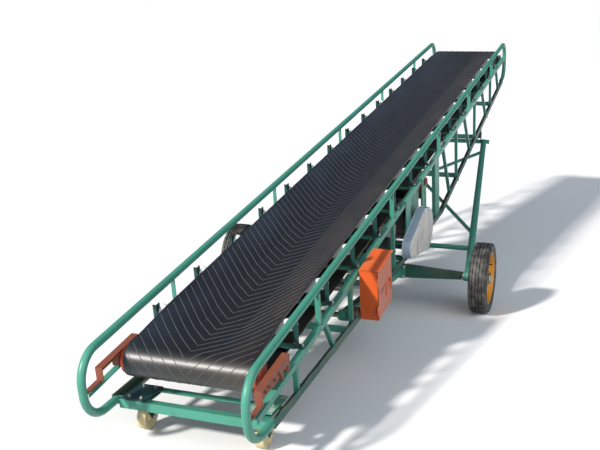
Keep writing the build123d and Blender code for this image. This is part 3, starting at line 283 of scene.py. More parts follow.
def guard_paint():
    """Pale cover: silver-blue edge strip, whitish face with rust streaks that run down from its bolts. The
    split between face and strip follows which way each surface looks: the whitish face is painted light, the
    silver-blue strip a painted sky reflection.
    """
    made = paint("pale_guard_enamel", (0.38, 0.48, 0.58), (0.22, 0.09, 0.05), 0.35, 0.62, rust=0.2)
    # Faces that look to -Y get the whitish tint: painted light on the guard's face
    face = (-1 * made.facing(1)).fade(0.6, 0.9)
    made.tint(face * 0.95, (0.78, 0.73, 0.69))
    streaks = made.noise(17, 4, (1, 1, 0.09)).fade(0.52, 0.7) * face
    made.tint(streaks * 0.7, (0.22, 0.085, 0.035))
    made.tint(made.noise(9, 4).fade(0.56, 0.72) * face * 0.45, (0.16, 0.12, 0.09))
    return made


def door_paint():
    """Orange enamel, tinted pink on the door's outer face."""
    made = paint("sunned_orange_enamel", (0.72, 0.115, 0.02), (0.5, 0.3, 0.22), 0.36, 0.64,
                 dust=(0.7, 0.3, 0.12), rust=0.15)
    face = (-1 * made.facing(1)).fade(0.6, 0.95)
    return made.tint(face * (0.65 + 0.35 * made.noise(6, 3)), (0.62, 0.225, 0.15))


def steel(name, colour=(0.3, 0.3, 0.29), roughness=0.36, rust=0.35, metallic=0.85):
    made = Finish(name, colour, roughness, metallic)
    made.tint(made.noise(30, 4).fade(0.5, 0.75) * rust, (0.1, 0.045, 0.025))
    made.rough(made.noise(60, 3) * 0.3 + (roughness - 0.1))
    return made.bump(made.noise(180, 2), 0.08)


def tyre_rubber():
    made = Finish("tyre_rubber", (0.016, 0.016, 0.017), 0.62)
    made.tint(made.noise(26, 5).fade(0.4, 0.7) * 0.8, (0.12, 0.11, 0.095))
    made.rough(0.5 + 0.25 * made.noise(40, 3))
    return made.bump(made.noise(420, 3), 0.2, 0.0006)


def belt_rubber():
    """Black belt: grey where it is polished, a painted blue sky reflection on its left wing, and brown on its
    right wing that is dust and painted warm sunlight.
    """
    made = Finish("belt_rubber", (0.006, 0.0062, 0.007), 0.4, Coat_Weight=0.8,
                  Coat_Roughness=0.38, Specular_IOR_Level=0.3)
    mottle = made.noise(5.5, 5, (0.5, 1, 1)).fade(0.4, 0.68)
    side = made.axis(1)
    # Left wing: painted blue sky reflection
    made.tint(side.fade(0.05, 0.26) * (0.35 + 0.6 * mottle), (0.016, 0.022, 0.034))
    # Right wing: brown dust and painted warm sunlight
    made.tint((-1 * side).fade(0.05, 0.26) * (0.25 + 0.65 * mottle), (0.038, 0.027, 0.019))
    made.tint(made.noise(75, 4, (0.25, 1, 1)).fade(0.58, 0.8) * 0.3, (0.055, 0.048, 0.04))
    made.rough(0.34 + 0.28 * made.noise(18, 4, (0.3, 1, 1)))
    return made.bump(made.noise(300, 3), 0.15, 0.0005)


def cream_wheel():
    made = Finish("cream_polyurethane", (0.72, 0.6, 0.34), 0.42)
    made.tint(made.noise(40, 4).fade(0.45, 0.75) * 0.45, (0.3, 0.22, 0.12))
    return made.bump(made.noise(150, 3), 0.1)


def pad_paint():
    """Caster plates: dark blue-green on the left, pale green worn to bare metal on the right."""
    made = paint("plate_enamel", (0.01, 0.05, 0.06), (0.2, 0.22, 0.2), 0.36, 0.6)
    right = (-1 * made.axis(1)).fade(-0.01, 0.01)
    made.tint(right, (0.1, 0.36, 0.24))
    return made.tint(right * made.noise(16, 3).fade(0.5, 0.58) * 0.85, (0.5, 0.52, 0.5))


def chord_paint():
    """Green enamel in a darker copy that is painted shade, under a khaki film of dried dust, as on the lower
    chords and the axle beam; on level faces the khaki is dust and also painted light on their lit tops.
    """
    made = paint("dusty_green_enamel", (0.016, 0.09, 0.066), KHAKI, 0.45, 0.62, dust=(0.24, 0.22, 0.15),
                 dust_and_light_share=0.8)
    return made.tint(made.noise(4, 4).fade(0.42, 0.62) * 0.4, (0.13, 0.14, 0.09))


def rib_rubber():
    """Pale ribs, darker up the belt towards the head: a painted falloff of light, with random darker patches.
    """
    made = Finish("belt_rib_rubber", (0.085, 0.08, 0.074), 0.6)
    # Darker along +X: painted falloff of light from the tail to the head
    dark = made.axis(0).fade(-3.0, -0.5) * 0.6 + made.noise(12, 4).fade(0.4, 0.7) * 0.3
    return made.tint(dark, (0.03, 0.03, 0.032))


def rope_wire():
    """Steel rope: its strands show as slanting ridges."""
    made = Finish("rope_wire", (0.1, 0.095, 0.085), 0.45, 0.6)
    lay = ((made.axis(0) + made.axis(1) * 0.6 + made.axis(2)) * 210).fract()
    ridge = abs(lay - 0.5) * 2
    # Darker between the strands: painted shade in the grooves
    made.tint(ridge * 0.6, (0.022, 0.018, 0.015))
    return made.bump(ridge, 0.5, 0.0008)


GREEN = (0.058, 0.285, 0.205)
KHAKI = (0.26, 0.23, 0.12)
LOOKS = {
    "green": paint("green_enamel", GREEN, KHAKI, 0.36, 0.62),
    # Darker copy of the green enamel for the idler brackets: painted shade
    "green_painted_shade": paint("deep_green_enamel", (0.008, 0.055, 0.048), (0.2, 0.22, 0.2), 0.4, 0.6),
    "chord": chord_paint(),
    "pads": pad_paint(),
    "dark": paint("machine_enamel", (0.014, 0.03, 0.028), (0.2, 0.2, 0.18), 0.42, 0.6, dust_and_light_share=0.4),
    "primer": paint("red_primer", (0.225, 0.062, 0.032), (0.26, 0.15, 0.1), 0.52, 0.6, rust=0.1,
                    dust=(0.22, 0.11, 0.07)),
    "pulley_red": paint("pulley_red", (0.42, 0.06, 0.02), (0.4, 0.24, 0.16), 0.45, 0.6, rust=0.3),
    "orange": door_paint(),
    "guard": guard_paint(),
    "rim": paint("rim_enamel", (0.74, 0.31, 0.012), (0.25, 0.2, 0.15), 0.38, 0.64, dust=(0.6, 0.36, 0.12)),
    "beige": paint("beige_enamel", (0.42, 0.36, 0.28), (0.2, 0.15, 0.1), 0.42, 0.6),
    "steel": steel("worn_steel"),
    "zinc": steel("zinc_steel", (0.6, 0.6, 0.57), 0.34, 0.15),
    "weld": steel("weld_steel", (0.1, 0.11, 0.1), 0.55, 0.5, 0.4),
    "white": paint("roller_white", (0.8, 0.82, 0.8), (0.35, 0.33, 0.3), 0.4, 0.66),
    "tyre": tyre_rubber(),
    "belt": belt_rubber(),
    "rib": rib_rubber(),
    "cream": cream_wheel(),
    "rope": rope_wire(),
}
# Starts of the names of the CAD nodes that take each finish, the longer of two alike first
NODE_STARTS = [
    ("green", "winch_ motor_mount"), ("primer", "take_up tail_bearings winch"), ("white", "wing_rollers"),
    ("dark", "chord_rollers motor head_bearings caster_fork"), ("green_painted_shade", "idler_brackets"),
    ("chord", "lower_chord axle_beam"), ("pulley_red", "tail_pulley"), ("pads", "caster_pads"),
    ("steel", "centre_rollers return_rollers bend_rollers head_pulley drive_drum pivot_shaft"),
    ("tyre", "wheel_tyre"), ("rim", "wheel_rim"), ("orange", "control_"), ("guard", "drive_guard"),
    ("beige", "terminal_box drum_bearings"), ("cream", "caster_wheel"), ("belt", "belt"),
]
SMOOTH_TO = math.radians(35)


def smooth(mesh):
    for face in mesh.polygons:
        face.use_smooth = True
    mesh.set_sharp_from_angle(angle=SMOOTH_TO)


def finish_nodes():
    """Dresses the CAD nodes; those that no start names are green."""
    for name, node in NODES.items():
        look = next((look for look, starts in NODE_STARTS if name.startswith(tuple(starts.split()))), "green")
        node.data.materials.clear()
        node.data.materials.append(LOOKS[look].material)
        smooth(node.data)


finish_nodes()


# Making pieces
def add_piece(name, mesh, look, body="frame", replaces=()):
    """Puts a mesh in the scene as one piece that rides on a body."""
    piece = bpy.data.objects.new(name, mesh)
    bpy.context.collection.objects.link(piece)
    mesh.materials.clear()
    mesh.materials.append(LOOKS[look].material)
    smooth(mesh)
    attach(piece, body)
    if replaces:
        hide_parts(*replaces)
    return piece


class Work:
    """A mesh in the making, from closed forms that are added in place."""

    def __init__(self):
        self.mesh = bmesh.new()

    def skin(self, rings, closed):
        """Faces between rings of corners; a ring of one corner is a pole."""
        pairs = list(zip(rings, rings[1:] + rings[:1])) if closed else list(zip(rings, rings[1:]))
        for first, second in pairs:
            count = max(len(first), len(second))
            for i in range(count):
                j = (i + 1) % count
                corners = [first[i % len(first)], first[j % len(first)],
                           second[j % len(second)], second[i % len(second)]]
                distinct = [c for k, c in enumerate(corners) if c not in corners[:k]]
                if len(distinct) > 2:
                    self.mesh.faces.new(distinct)

    def lathe(self, start, axis, profile, turns=32, closed=False):
        """Turned form: profile lists the distance along the axis and the radius."""
        axis = axis.normalized()
        side = axis.orthogonal().normalized()
        other = axis.cross(side)
        rings = []
        for run, radius in profile:
            spots = [start + axis * run]
            if radius > 0:
                angles = [math.tau * i / turns for i in range(turns)]
                spots = [spots[0] + (side * math.cos(a) + other * math.sin(a)) * radius for a in angles]
            rings.append([self.mesh.verts.new(spot) for spot in spots])
        self.skin(rings, closed)
        return self

    def bar(self, start, end, radius, turns=16, soft=0.0012):
        """Round bar with softened ends."""
        length, neck = (end - start).length, radius - soft
        profile = [(0, 0), (0, neck), (soft, radius), (length - soft, radius), (length, neck), (length, 0)]
        return self.lathe(start, end - start, profile, turns)

    def collar(self, start, axis, bore, radius, width, turns=28, soft=0.001):
        """Ring with softened outer edges."""
        neck = radius - soft
        profile = [(0, bore), (0, neck), (soft, radius), (width - soft, radius), (width, neck), (width, bore)]
        return self.lathe(start, axis, profile, turns, closed=True)

    def plate(self, outline, depth):
        """Prism of a flat outline."""
        low = [self.mesh.verts.new(spot) for spot in outline]
        high = [self.mesh.verts.new(spot + depth) for spot in outline]
        self.skin([low, high], False)
        self.mesh.faces.new(low)
        self.mesh.faces.new(high[::-1])
        return self

    def block(self, middle, size, axes=(ALONG, ACROSS, UPWARD)):
        """Box round a middle point, square to the slope unless other axes are given."""
        x, y, z = [axis * length / 2 for axis, length in zip(axes, size)]
        corners = [middle - x - y - z, middle + x - y - z, middle + x + y - z, middle - x + y - z]
        return self.plate(corners, z * 2)

    def done(self, name, look, body="frame", bevel=0.0, replaces=()):
        if bevel:
            sharp = [edge for edge in self.mesh.edges if len(edge.link_faces) == 2
                     and edge.calc_face_angle(0) > SMOOTH_TO]
            bmesh.ops.bevel(self.mesh, geom=sharp, offset=bevel, segments=2, profile=0.6, affect="EDGES",
                            clamp_overlap=True)
        bmesh.ops.recalc_face_normals(self.mesh, faces=self.mesh.faces)
        mesh = bpy.data.meshes.new(name)
        self.mesh.to_mesh(mesh)
        self.mesh.free()
        return add_piece(name, mesh, look, body, replaces)


# Geometry Nodes for what repeats and for what follows a line
class Growth(Tree):
    """A Geometry Nodes tree with named inputs for its sizes."""

    def __init__(self, name, inputs):
        super().__init__(bpy.data.node_groups.new(name, "GeometryNodeTree"))
        face = self.tree.interface
        face.new_socket("Geometry", in_out="INPUT", socket_type="NodeSocketGeometry")
        for label, kind in inputs.items():
            face.new_socket(label, in_out="INPUT", socket_type=kind)
        face.new_socket("Geometry", in_out="OUTPUT", socket_type="NodeSocketGeometry")
        self.start = self.tree.nodes.new("NodeGroupInput").outputs

    def end(self, geometry):
        """Ends the tree with real geometry in its own material."""
        real = self.node("GeometryNodeRealizeInstances", None, {"Geometry": geometry})
        dressed = self.node("GeometryNodeSetMaterial", None,
                            {"Geometry": real.outputs[0], "Material": self.start["Material"]})
        self.node("NodeGroupOutput", None, {"Geometry": dressed.outputs[0]})

    def run(self, name, mesh, values, look, body="frame"):
        """Grows a mesh through the tree and keeps the result as one plain piece."""
        carrier = bpy.data.objects.new(name + "_carrier", mesh)
        bpy.context.collection.objects.link(carrier)
        modifier = carrier.modifiers.new("growth", "NODES")
        modifier.node_group = self.tree
        for item in self.tree.interface.items_tree:
            if item.in_out == "INPUT" and item.name in values:
                modifier[item.identifier] = values[item.name]
        depsgraph = bpy.context.evaluated_depsgraph_get()
        grown = bpy.data.meshes.new_from_object(carrier.evaluated_get(depsgraph), depsgraph=depsgraph)
        bpy.data.objects.remove(carrier)
        grown.name = name
        return add_piece(name, grown, look, body)


def repeat_tree():
    """Stands a pattern piece on every point, turned and sized by the point's own values."""
    growth = Growth("repeat_piece", {"Pattern": "NodeSocketObject", "Material": "NodeSocketMaterial"})
    turn = growth.node("GeometryNodeInputNamedAttribute", {"data_type": "FLOAT_VECTOR"}, {"Name": "turn"})
    size = growth.node("GeometryNodeInputNamedAttribute", {"data_type": "FLOAT"}, {"Name": "size"})
    pattern = growth.node("GeometryNodeObjectInfo", None, {"Object": growth.start["Pattern"]})
    turned = growth.node("FunctionNodeEulerToRotation", None, {0: turn.outputs[0]})
    stood = growth.node("GeometryNodeInstanceOnPoints", None, {
        "Points": growth.start["Geometry"], "Instance": pattern.outputs["Geometry"],
        "Rotation": turned.outputs[0], "Scale": size.outputs[0]})
    growth.end(stood.outputs[0])
    return growth


def line_tree():
    """Lays a round bar along every line of edges, a little uneven where it is a weld."""
    growth = Growth("bar_on_line", {"Radius": "NodeSocketFloat", "Sides": "NodeSocketInt",
                                    "Unevenness": "NodeSocketFloat", "Material": "NodeSocketMaterial"})
    curve = growth.node("GeometryNodeMeshToCurve", None, {"Mesh": growth.start["Geometry"]})
    ring = growth.node("GeometryNodeCurvePrimitiveCircle", None,
                       {"Resolution": growth.start["Sides"], "Radius": growth.start["Radius"]})
    swept = growth.node("GeometryNodeCurveToMesh", None,
                        {"Curve": curve.outputs[0], "Profile Curve": ring.outputs[0], "Fill Caps": True})
    cloud = growth.node("ShaderNodeTexNoise", None, {"Scale": 260.0})
    lift = growth.node("ShaderNodeVectorMath", {"operation": "SUBTRACT"},
                       {0: cloud.outputs["Color"], 1: (0.5, 0.5, 0.5)})
    shift = growth.node("ShaderNodeVectorMath", {"operation": "SCALE"},
                        {0: lift.outputs[0], "Scale": growth.start["Unevenness"]})
    moved = growth.node("GeometryNodeSetPosition", None,
                        {"Geometry": swept.outputs[0], "Offset": shift.outputs[0]})
    growth.end(moved.outputs[0])
    return growth


REPEAT = repeat_tree()
ON_LINE = line_tree()


def repeat(name, pattern, spots, look, body="frame"):
    """Repeats a pattern mesh at spots of position, outward direction and size."""
    mesh = bpy.data.meshes.new(name + "_spots")
    mesh.from_pydata([spot for spot, _, _ in spots], [], [])
    mesh.attributes.new("turn", "FLOAT_VECTOR", "POINT")
    mesh.attributes.new("size", "FLOAT", "POINT")
    for i, (_, outward, size) in enumerate(spots):
        mesh.attributes["turn"].data[i].vector = outward.to_track_quat("Z", "Y").to_euler()
        mesh.attributes["size"].data[i].value = size
    original = bpy.data.objects.new(name + "_pattern", pattern)
    bpy.context.collection.objects.link(original)
    piece = REPEAT.run(name, mesh, {"Pattern": original, "Material": LOOKS[look].material}, look, body)
    bpy.data.objects.remove(original)
    return piece


def along_lines(name, lines, radius, look, body="frame", sides=6, uneven=0.0):
    """Lays a bar along each line of points."""
    spots, edges = [], []
    for line in lines:
        edges += [(len(spots) + i, len(spots) + i + 1) for i in range(len(line) - 1)]
        spots += line
    mesh = bpy.data.meshes.new(name + "_lines")
    mesh.from_pydata(spots, edges, [])
    return ON_LINE.run(name, mesh, {"Radius": radius, "Sides": sides, "Unevenness": uneven,
                                    "Material": LOOKS[look].material}, look, body)


def pattern_mesh(name, work):
    bmesh.ops.recalc_face_normals(work.mesh, faces=work.mesh.faces)
    mesh = bpy.data.meshes.new(name)
    work.mesh.to_mesh(mesh)
    work.mesh.free()
    return mesh


def hex_bolt():
    """Bolt head on a washer with the thread's end showing, one unit in washer radius."""
    work = Work()
    work.lathe(ORIGIN, UP, [(0, 0), (0, 1), (0.16, 1), (0.2, 0.94), (0.2, 0)], 14)
    work.lathe(ORIGIN, UP, [(0.18, 0), (0.18, 0.86), (0.72, 0.86), (0.84, 0.72), (0.84, 0)], 6)
    work.lathe(ORIGIN, UP, [(0.8, 0), (0.8, 0.42), (1.12, 0.42), (1.2, 0.34), (1.2, 0)], 10)
    return pattern_mesh("hex_bolt", work)


def add_bolts(name, spots, look="zinc", body="frame"):
    """Bolts at spots of position, outward direction and washer radius."""
    repeat(name, hex_bolt(), spots, look, body)


CAP_PROFILE = mm((-1, 0), (-1, 29.6), (0.5, 29.6), (1.6, 28.6), (1.6, 23.5), (0.4, 22.5), (0.4, 20.5),
                 (2.2, 19.5), (2.6, 15), (2.6, 0))
SEAL_PROFILE = mm((1, 8), (4.6, 8.2), (5.2, 12), (3, 13.6), (1, 13.6))


def roller_cap():
    """Pale end of an idler roller with a ring groove."""
    return pattern_mesh("roller_cap", Work().lathe(ORIGIN, UP, CAP_PROFILE, 24))


def seal_ring():
    """Dark seal round a roller's stub shaft."""
    return pattern_mesh("seal_ring", Work().lathe(ORIGIN, UP, SEAL_PROFILE, 18, closed=True))


# The side frames' lines, worked out as in part.py
LOOP_TAIL_TOP_R, LOOP_TAIL_DROP, LOOP_TAIL_BOTTOM_R = 0.125, 0.042, 0.145
LOOP_HEAD_U, LOOP_HEAD_R, LOOP_HEAD_DROP = 6.86, 0.14, 0.07
STRINGER_SPAN = ((0.06, -0.2), (LOOP_HEAD_U - 0.04, -0.145))
CHORD, CHORD_T = 0.04, 0.005
BEND = to_slope(3.66, 0.46)


def touch_point(centre, radius, turn):
    """Where the line from the chord's bend touches a loop's lower bend."""
    du, dw = BEND[0] - centre[0], BEND[1] - centre[1]
    angle = math.atan2(dw, du) + turn * (math.pi / 2 - math.asin(radius / math.hypot(du, dw)))
    return centre[0] + radius * math.cos(angle), centre[1] + radius * math.sin(angle)


TAIL_JOIN = touch_point((LOOP_TAIL_BOTTOM_R, -LOOP_TAIL_TOP_R - LOOP_TAIL_DROP), LOOP_TAIL_BOTTOM_R, -1)
HEAD_JOIN = touch_point((LOOP_HEAD_U - LOOP_HEAD_R, -LOOP_HEAD_R - LOOP_HEAD_DROP), LOOP_HEAD_R, 1)


def chord_w(u):
    end = TAIL_JOIN if u < BEND[0] else HEAD_JOIN
    return end[1] + (u - end[0]) * (BEND[1] - end[1]) / (BEND[0] - end[0])


def flange_w(u):
    """Upper face of the lower chord's level flange at u."""
    end = HEAD_JOIN if u > BEND[0] else TAIL_JOIN
    slope = math.atan2(abs(BEND[1] - end[1]), abs(BEND[0] - end[0]))
    return chord_w(u) - (CHORD / 2 - CHORD_T) / math.cos(slope)


def stringer_w(u):
    (u0, w0), (u1, w1) = STRINGER_SPAN
    return w0 + (u - u0) * (w1 - w0) / (u1 - u0)


def idler_stations():
    return [IDLER_U0 + i * IDLER_PITCH for i in range(IDLER_COUNT)]


# The belt's ribs
HALF_T = BELT_T / 2 + BELT_GAP
BELT_WHEELS = [
    (HEAD_U, BELT_TOP_W - BELT_T - BELT_GAP - HEAD_R, HEAD_R, -1),
    (DRIVE_U + BEND_GAP_U, BEND_W, BEND_R, 1),
    (DRIVE_U, DRIVE_W, DRIVE_R, -1),
    (DRIVE_U - BEND_GAP_U, BEND_W, BEND_R, 1),
    (TAIL_U, BELT_TOP_W - BELT_T - BELT_GAP - TAIL_R, TAIL_R, -1),
]


def outer_path():
    """The belt's carrying face from the head round to the tail: arcs and lines in slope coordinates."""
    rounds = [(u, w, turn * (r + HALF_T - turn * BELT_T / 2)) for u, w, r, turn in BELT_WHEELS]
    lines = []
    for (u0, w0, r0), (u1, w1, r1) in zip(rounds, rounds[1:]):
        du, dw = u1 - u0, w1 - w0
        length = math.sqrt(du * du + dw * dw - (r0 - r1) ** 2)
        lines.append((math.atan2(dw, du) + math.atan2(r0 - r1, length), length))
    headings = [0.0] + [heading for heading, _ in lines] + [0.0]
    path = []
    for i, (u, w, r) in enumerate(rounds):
        turn = 1 if r > 0 else -1
        swing = turn * ((turn * (headings[i + 1] - headings[i])) % math.tau)
        path.append(("arc", abs(r * swing), (u, w, r, headings[i], swing)))
        if i < len(lines):
            heading, length = lines[i]
            start = (u + r * math.sin(heading), w - r * math.cos(heading))
            path.append(("line", length, (*start, heading)))
    return path


OUTER_PATH = outer_path()
CARRYING_L = HEAD_U - TAIL_U
LOOP_L = CARRYING_L + sum(length for _, length, _ in OUTER_PATH)


def trough_depth(u):
    """0 where the belt is flat and 1 where it lies in the idlers' trough."""
    stations = idler_stations()
    return max(0.0, min(1.0, (u - TAIL_U) / (stations[0] - TAIL_U), (HEAD_U - u) / (HEAD_U - stations[-1])))


def on_trough(u, t):
    """Point of the carrying run at u, t across the belt from its middle."""
    across, depth = abs(t), trough_depth(u)
    out = max(0.0, across - TROUGH_CORNER_Y)
    deep_y = min(across, TROUGH_CORNER_Y) + out * math.cos(TROUGH)
    deep_w = TROUGH_FLOOR_W + out * math.sin(TROUGH)
    y = across + depth * (deep_y - across)
    return place(u, math.copysign(y, t), BELT_TOP_W + depth * (deep_w - BELT_TOP_W))


def on_belt(s, t):
    """Point of the belt's outer face, s along the loop from the tail and t across."""
    s %= LOOP_L
    if s <= CARRYING_L:
        return on_trough(TAIL_U + s, t)
    s -= CARRYING_L
    for kind, length, facts in OUTER_PATH:
        if s <= length:
            break
        s -= length
    if kind == "line":
        u, w, heading = facts
        return place(u + s * math.cos(heading), t, w + s * math.sin(heading))
    u, w, r, heading, swing = facts
    heading += swing * s / length
    return place(u + r * math.sin(heading), t, w - r * math.cos(heading))


RIB_PITCH = 0.0615
RIB_SLANT = 1.1           # how far an arm of the herringbone runs up the belt for each metre across
RIB_R = 0.0019
RIB_EDGE = BELT_HALF - 0.014
RIB_STEPS = 16            # points on each arm


def belt_ribs():
    """Low ribs in a herringbone, whose points look to the tail on the carrying run."""
    count = round(LOOP_L / RIB_PITCH)
    half = sorted({0.0, TROUGH_CORNER_Y} | {RIB_EDGE * i / RIB_STEPS for i in range(1, RIB_STEPS + 1)})
    across = [-t for t in reversed(half[1:])] + half
    lines = [[on_belt(LOOP_L * k / count + RIB_SLANT * abs(t), t) for t in across] for k in range(count)]
    along_lines("belt_ribs", lines, RIB_R, "rib")


# Idlers
def wing_spot(run):
    """Slope y, w on a wing roller's axis, at a run outward from its inner end."""
    under_y = (BELT_GAP + IDLER_R) * math.sin(TROUGH)
    under_w = (BELT_GAP + IDLER_R) * math.cos(TROUGH)
    start = 0.005 + IDLER_R * math.sin(TROUGH) / 2
    y = TROUGH_CORNER_Y + (start + run) * math.cos(TROUGH) + under_y - IDLER_R * math.sin(TROUGH)
    w = TROUGH_FLOOR_W - BELT_T + (y - under_y - TROUGH_CORNER_Y) * math.tan(TROUGH) - under_w
    return y, w


ROLL_AXIS_W = TROUGH_FLOOR_W - BELT_T - BELT_GAP - IDLER_R
BRACKET_HALF_T = 0.002
FOOT_TOP = 0.0052         # from the stringer's top to the top of an idler's foot
SHAFT_NUT_R, FOOT_BOLT_R = 0.011, 0.0085


def idler_details():
    """Caps, seals and shaft nuts of the idlers, and the bolts of their feet."""
    ends, nuts, feet = [], [], []
    for u in idler_stations():
        for side in SIDES.values():
            out = (ACROSS * side * math.cos(TROUGH) + UPWARD * math.sin(TROUGH)).normalized()
            for run, way in ((0, -1), (IDLER_WING_L, 1)):
                y, w = wing_spot(run)
                ends.append((place(u, side * y, w), out * way, 1))
            ends.append((place(u, side * IDLER_CENTRE_L / 2, ROLL_AXIS_W), ACROSS * side, 1))
            w += (BRACKET_Y - y) * math.tan(TROUGH)
            nuts.append((place(u, side * (BRACKET_Y + BRACKET_HALF_T), w), ACROSS * side, SHAFT_NUT_R))
            seat = stringer_w(u) + STRINGER / 2 + FOOT_TOP
            feet.append((place(u + 0.006, side * (RAIL_Y + 0.002), seat), UPWARD, FOOT_BOLT_R))
    repeat("idler_caps", roller_cap(), ends, "white")
    repeat("idler_seals", seal_ring(), ends, "dark")
    add_bolts("idler_shaft_nuts", nuts)
    add_bolts("idler_foot_bolts", feet)


# Welds
POST_U = [0.52, 1.335, 2.21, 3.5, 4.21, 5.05, 5.91]
RAIL_POST_U = [0.85, 2.21, 3.55, 4.76, 5.965]
LEANING = [(0.91, 1.03), (1.72, 1.87), (3.69, 3.925), (4.55, 4.795), (5.42, 5.64), (6.26, 6.4)]
TIE_U = [1.255, 1.94, 2.262, 3.555, 4.265, 5.105, 5.965]
WELD_R = 0.0028
STRUT_HALF = 0.011
STRUT_WELD_HALF = 0.008
TIE_HALF = 0.0215
RAIL_UNDER_W = -0.02


def bead(start, end, steps=6):
    return [start.lerp(end, i / steps) for i in range(steps + 1)]


def frame_welds():
    """Weld beads at the ends of the struts, posts and cross ties."""
    beads = []

    def add(u0, u1, y0, y1, w0, w1, steps=6):
        for side in SIDES.values():
            beads.append(bead(place(u0, side * y0, w0), place(u1, side * y1, w1), steps))

    for top_u, foot_u in [(u, u) for u in POST_U] + LEANING:
        for u, w in ((top_u, stringer_w(top_u) - STRINGER / 2), (foot_u, chord_w(foot_u) + CHORD / 2)):
            for edge in (u - STRUT_HALF, u + STRUT_HALF):
                y = FLANGE_OUT - 0.0005
                add(edge, edge, y, y, w - STRUT_WELD_HALF, w + STRUT_WELD_HALF, 4)
    for u in RAIL_POST_U:
        y = RAIL_Y + 0.007
        add(u - STRUT_HALF, u + STRUT_HALF, y, y, RAIL_UNDER_W, RAIL_UNDER_W)
    for u in TIE_U:
        w = flange_w(u) + 0.0025
        add(u - TIE_HALF, u - TIE_HALF, FLANGE_IN + 0.002, FLANGE_OUT - 0.002, w, w)
    along_lines("frame_welds", beads, WELD_R, "weld", sides=8, uneven=0.0016)


# Wheels and casters
TREAD_SPAN = (0.012, 0.108)
TREAD_BANDS = 5
GROOVE_W, GROOVE_D, GROOVE_LIP = 0.006, 0.0065, 0.0008
# One side of the tyre, as distance from its flank and height above the rim's edge
TYRE_SIDE = mm((8, 0), (3.6, 8), (1.2, 18), (0.2, 22), (0.2, 27), (1.2, 29), (1.2, 41), (2.2, 47),
               (5, 53.5), (8.5, 57.5))


def crown(run):
    """Tread radius at a distance from the tyre's inner side."""
    return WHEEL_R - 0.0004 - 0.003 * ((run - WHEEL_W / 2) / (WHEEL_W / 2)) ** 2


def wheel_bands():
    """Tread profile, as distance from its inner side and radius: bands between grooves."""
    first, last = TREAD_SPAN
    band_w = (last - first - (TREAD_BANDS - 1) * GROOVE_W) / TREAD_BANDS
    floor = WHEEL_R - GROOVE_D
    spots = []
    for i in range(TREAD_BANDS):
        start = first + i * (band_w + GROOVE_W)
        end = start + band_w
        spots += [(start, crown(start) - GROOVE_LIP), (start + 0.001, crown(start)),
                  (end - 0.001, crown(end)), (end, crown(end) - GROOVE_LIP)]
        if i < TREAD_BANDS - 1:
            spots += [(end + GROOVE_LIP, floor), (end + GROOVE_W - GROOVE_LIP, floor)]
    return spots


def mirrored(profile, width):
    """The other half of a profile, across the middle of a width."""
    return [(width - run, radius) for run, radius in reversed(profile)]


def tyre_profile():
    side = [(run, RIM_R + rise) for run, rise in TYRE_SIDE]
    bead_seat = [(WHEEL_W - 0.01, RIM_R - 0.003), (0.01, RIM_R - 0.003)]
    return side + wheel_bands() + mirrored(side, WHEEL_W) + bead_seat


RIM_PROFILE = mm((8, 164), (112, 164), (112.5, 161), (111, 158), (106, 155.5), (90, 152), (74, 146),
                 (68, 138), (68, 120), (74, 106), (78, 90), (78, 58), (74, 48), (74, 40), (96, 38),
                 (100, 34), (100, 18), (6, 18), (6, 38), (56, 40), (60, 58), (64, 90), (60, 106),
                 (54, 120), (54, 140), (48, 149), (14, 155), (8, 158))
HUB_PROFILE = mm((0, 0), (0, 34.5), (2, 35.5), (12, 35), (16, 32), (17.5, 24), (19, 22.5), (19, 0))
WHEEL_NUTS = 5
WHEEL_NUT_CIRCLE_R = 0.072
# Runs outward from the tyre's inner side
DISH_FACE, VALVE_FOOT, HUB_CAP_FOOT = 0.0778, 0.072, 0.098
VALVE_WAY, VALVE_REACH = Vector((0.9, 0, 0.44)).normalized(), 0.137


def road_wheel(name, side):
    """Ribbed tyre, dished rim, hub cap, nuts and valve of one road wheel."""
    body = "wheel_" + name
    out = ACROSS * side
    inner = ground(WHEEL_X, side * (WHEEL_OUT_Y - WHEEL_W), WHEEL_R)
    for part, profile, turns in (("tyre", tyre_profile(), 96), ("rim", RIM_PROFILE, 72)):
        form = Work().lathe(inner, out, profile, turns, closed=True)
        form.done(part + "_" + name, part, body, replaces=["wheel_" + part + "_" + name])
    Work().lathe(inner + out * HUB_CAP_FOOT, out, HUB_PROFILE, 40).done("hub_cap_" + name, "steel", body)
    face = inner + out * DISH_FACE
    nuts = [(face + way * WHEEL_NUT_CIRCLE_R, out, 0.0125) for way in around(WHEEL_NUTS, 0.25)]
    add_bolts("wheel_nuts_" + name, nuts, "steel", body)
    foot = inner + out * VALVE_FOOT + VALVE_WAY * VALVE_REACH
    Work().bar(foot, foot + out * 0.03, 0.0042, 12).done("valve_" + name, "dark", body)


CASTER_PROFILE = mm((0, 0), (0, 15), (1.5, 18), (1.5, 23), (4.5, 26), (4.5, 42), (0.5, 47), (0.5, 57),
                    (2.5, 60.2), (6.5, 62.2))
RACE_PROFILE = mm((-13.5, 14), (-13.5, 30), (-11, 33), (-8, 33), (-5.6, 30), (-5.6, 14))
CASTER_NUT_Y = 0.032      # from the wheel's middle to its axle nuts


def caster(name, side):
    """Tread, axle nuts and swivel bearing of one caster."""
    hub = ground(CASTER_X, side * CASTER_Y, CASTER_R)
    profile = CASTER_PROFILE + mirrored(CASTER_PROFILE, CASTER_W)
    tread = Work().lathe(hub - ACROSS * CASTER_W / 2, ACROSS, profile, 48)
    tread.done("caster_tread_" + name, "cream", "caster_" + name, replaces=["caster_wheel_" + name])
    nuts = [(hub + out * CASTER_NUT_Y, out, 0.0095) for out in (-ACROSS, ACROSS)]
    add_bolts("caster_axle_nuts_" + name, nuts, body="swivel_" + name)
    swivel = ground(CASTER_X - CASTER_TRAIL, side * CASTER_Y, CASTER_TOP_Z)
    race = Work().lathe(swivel, UP, RACE_PROFILE, 40, closed=True)
    race.done("caster_race_" + name, "steel", "swivel_" + name)


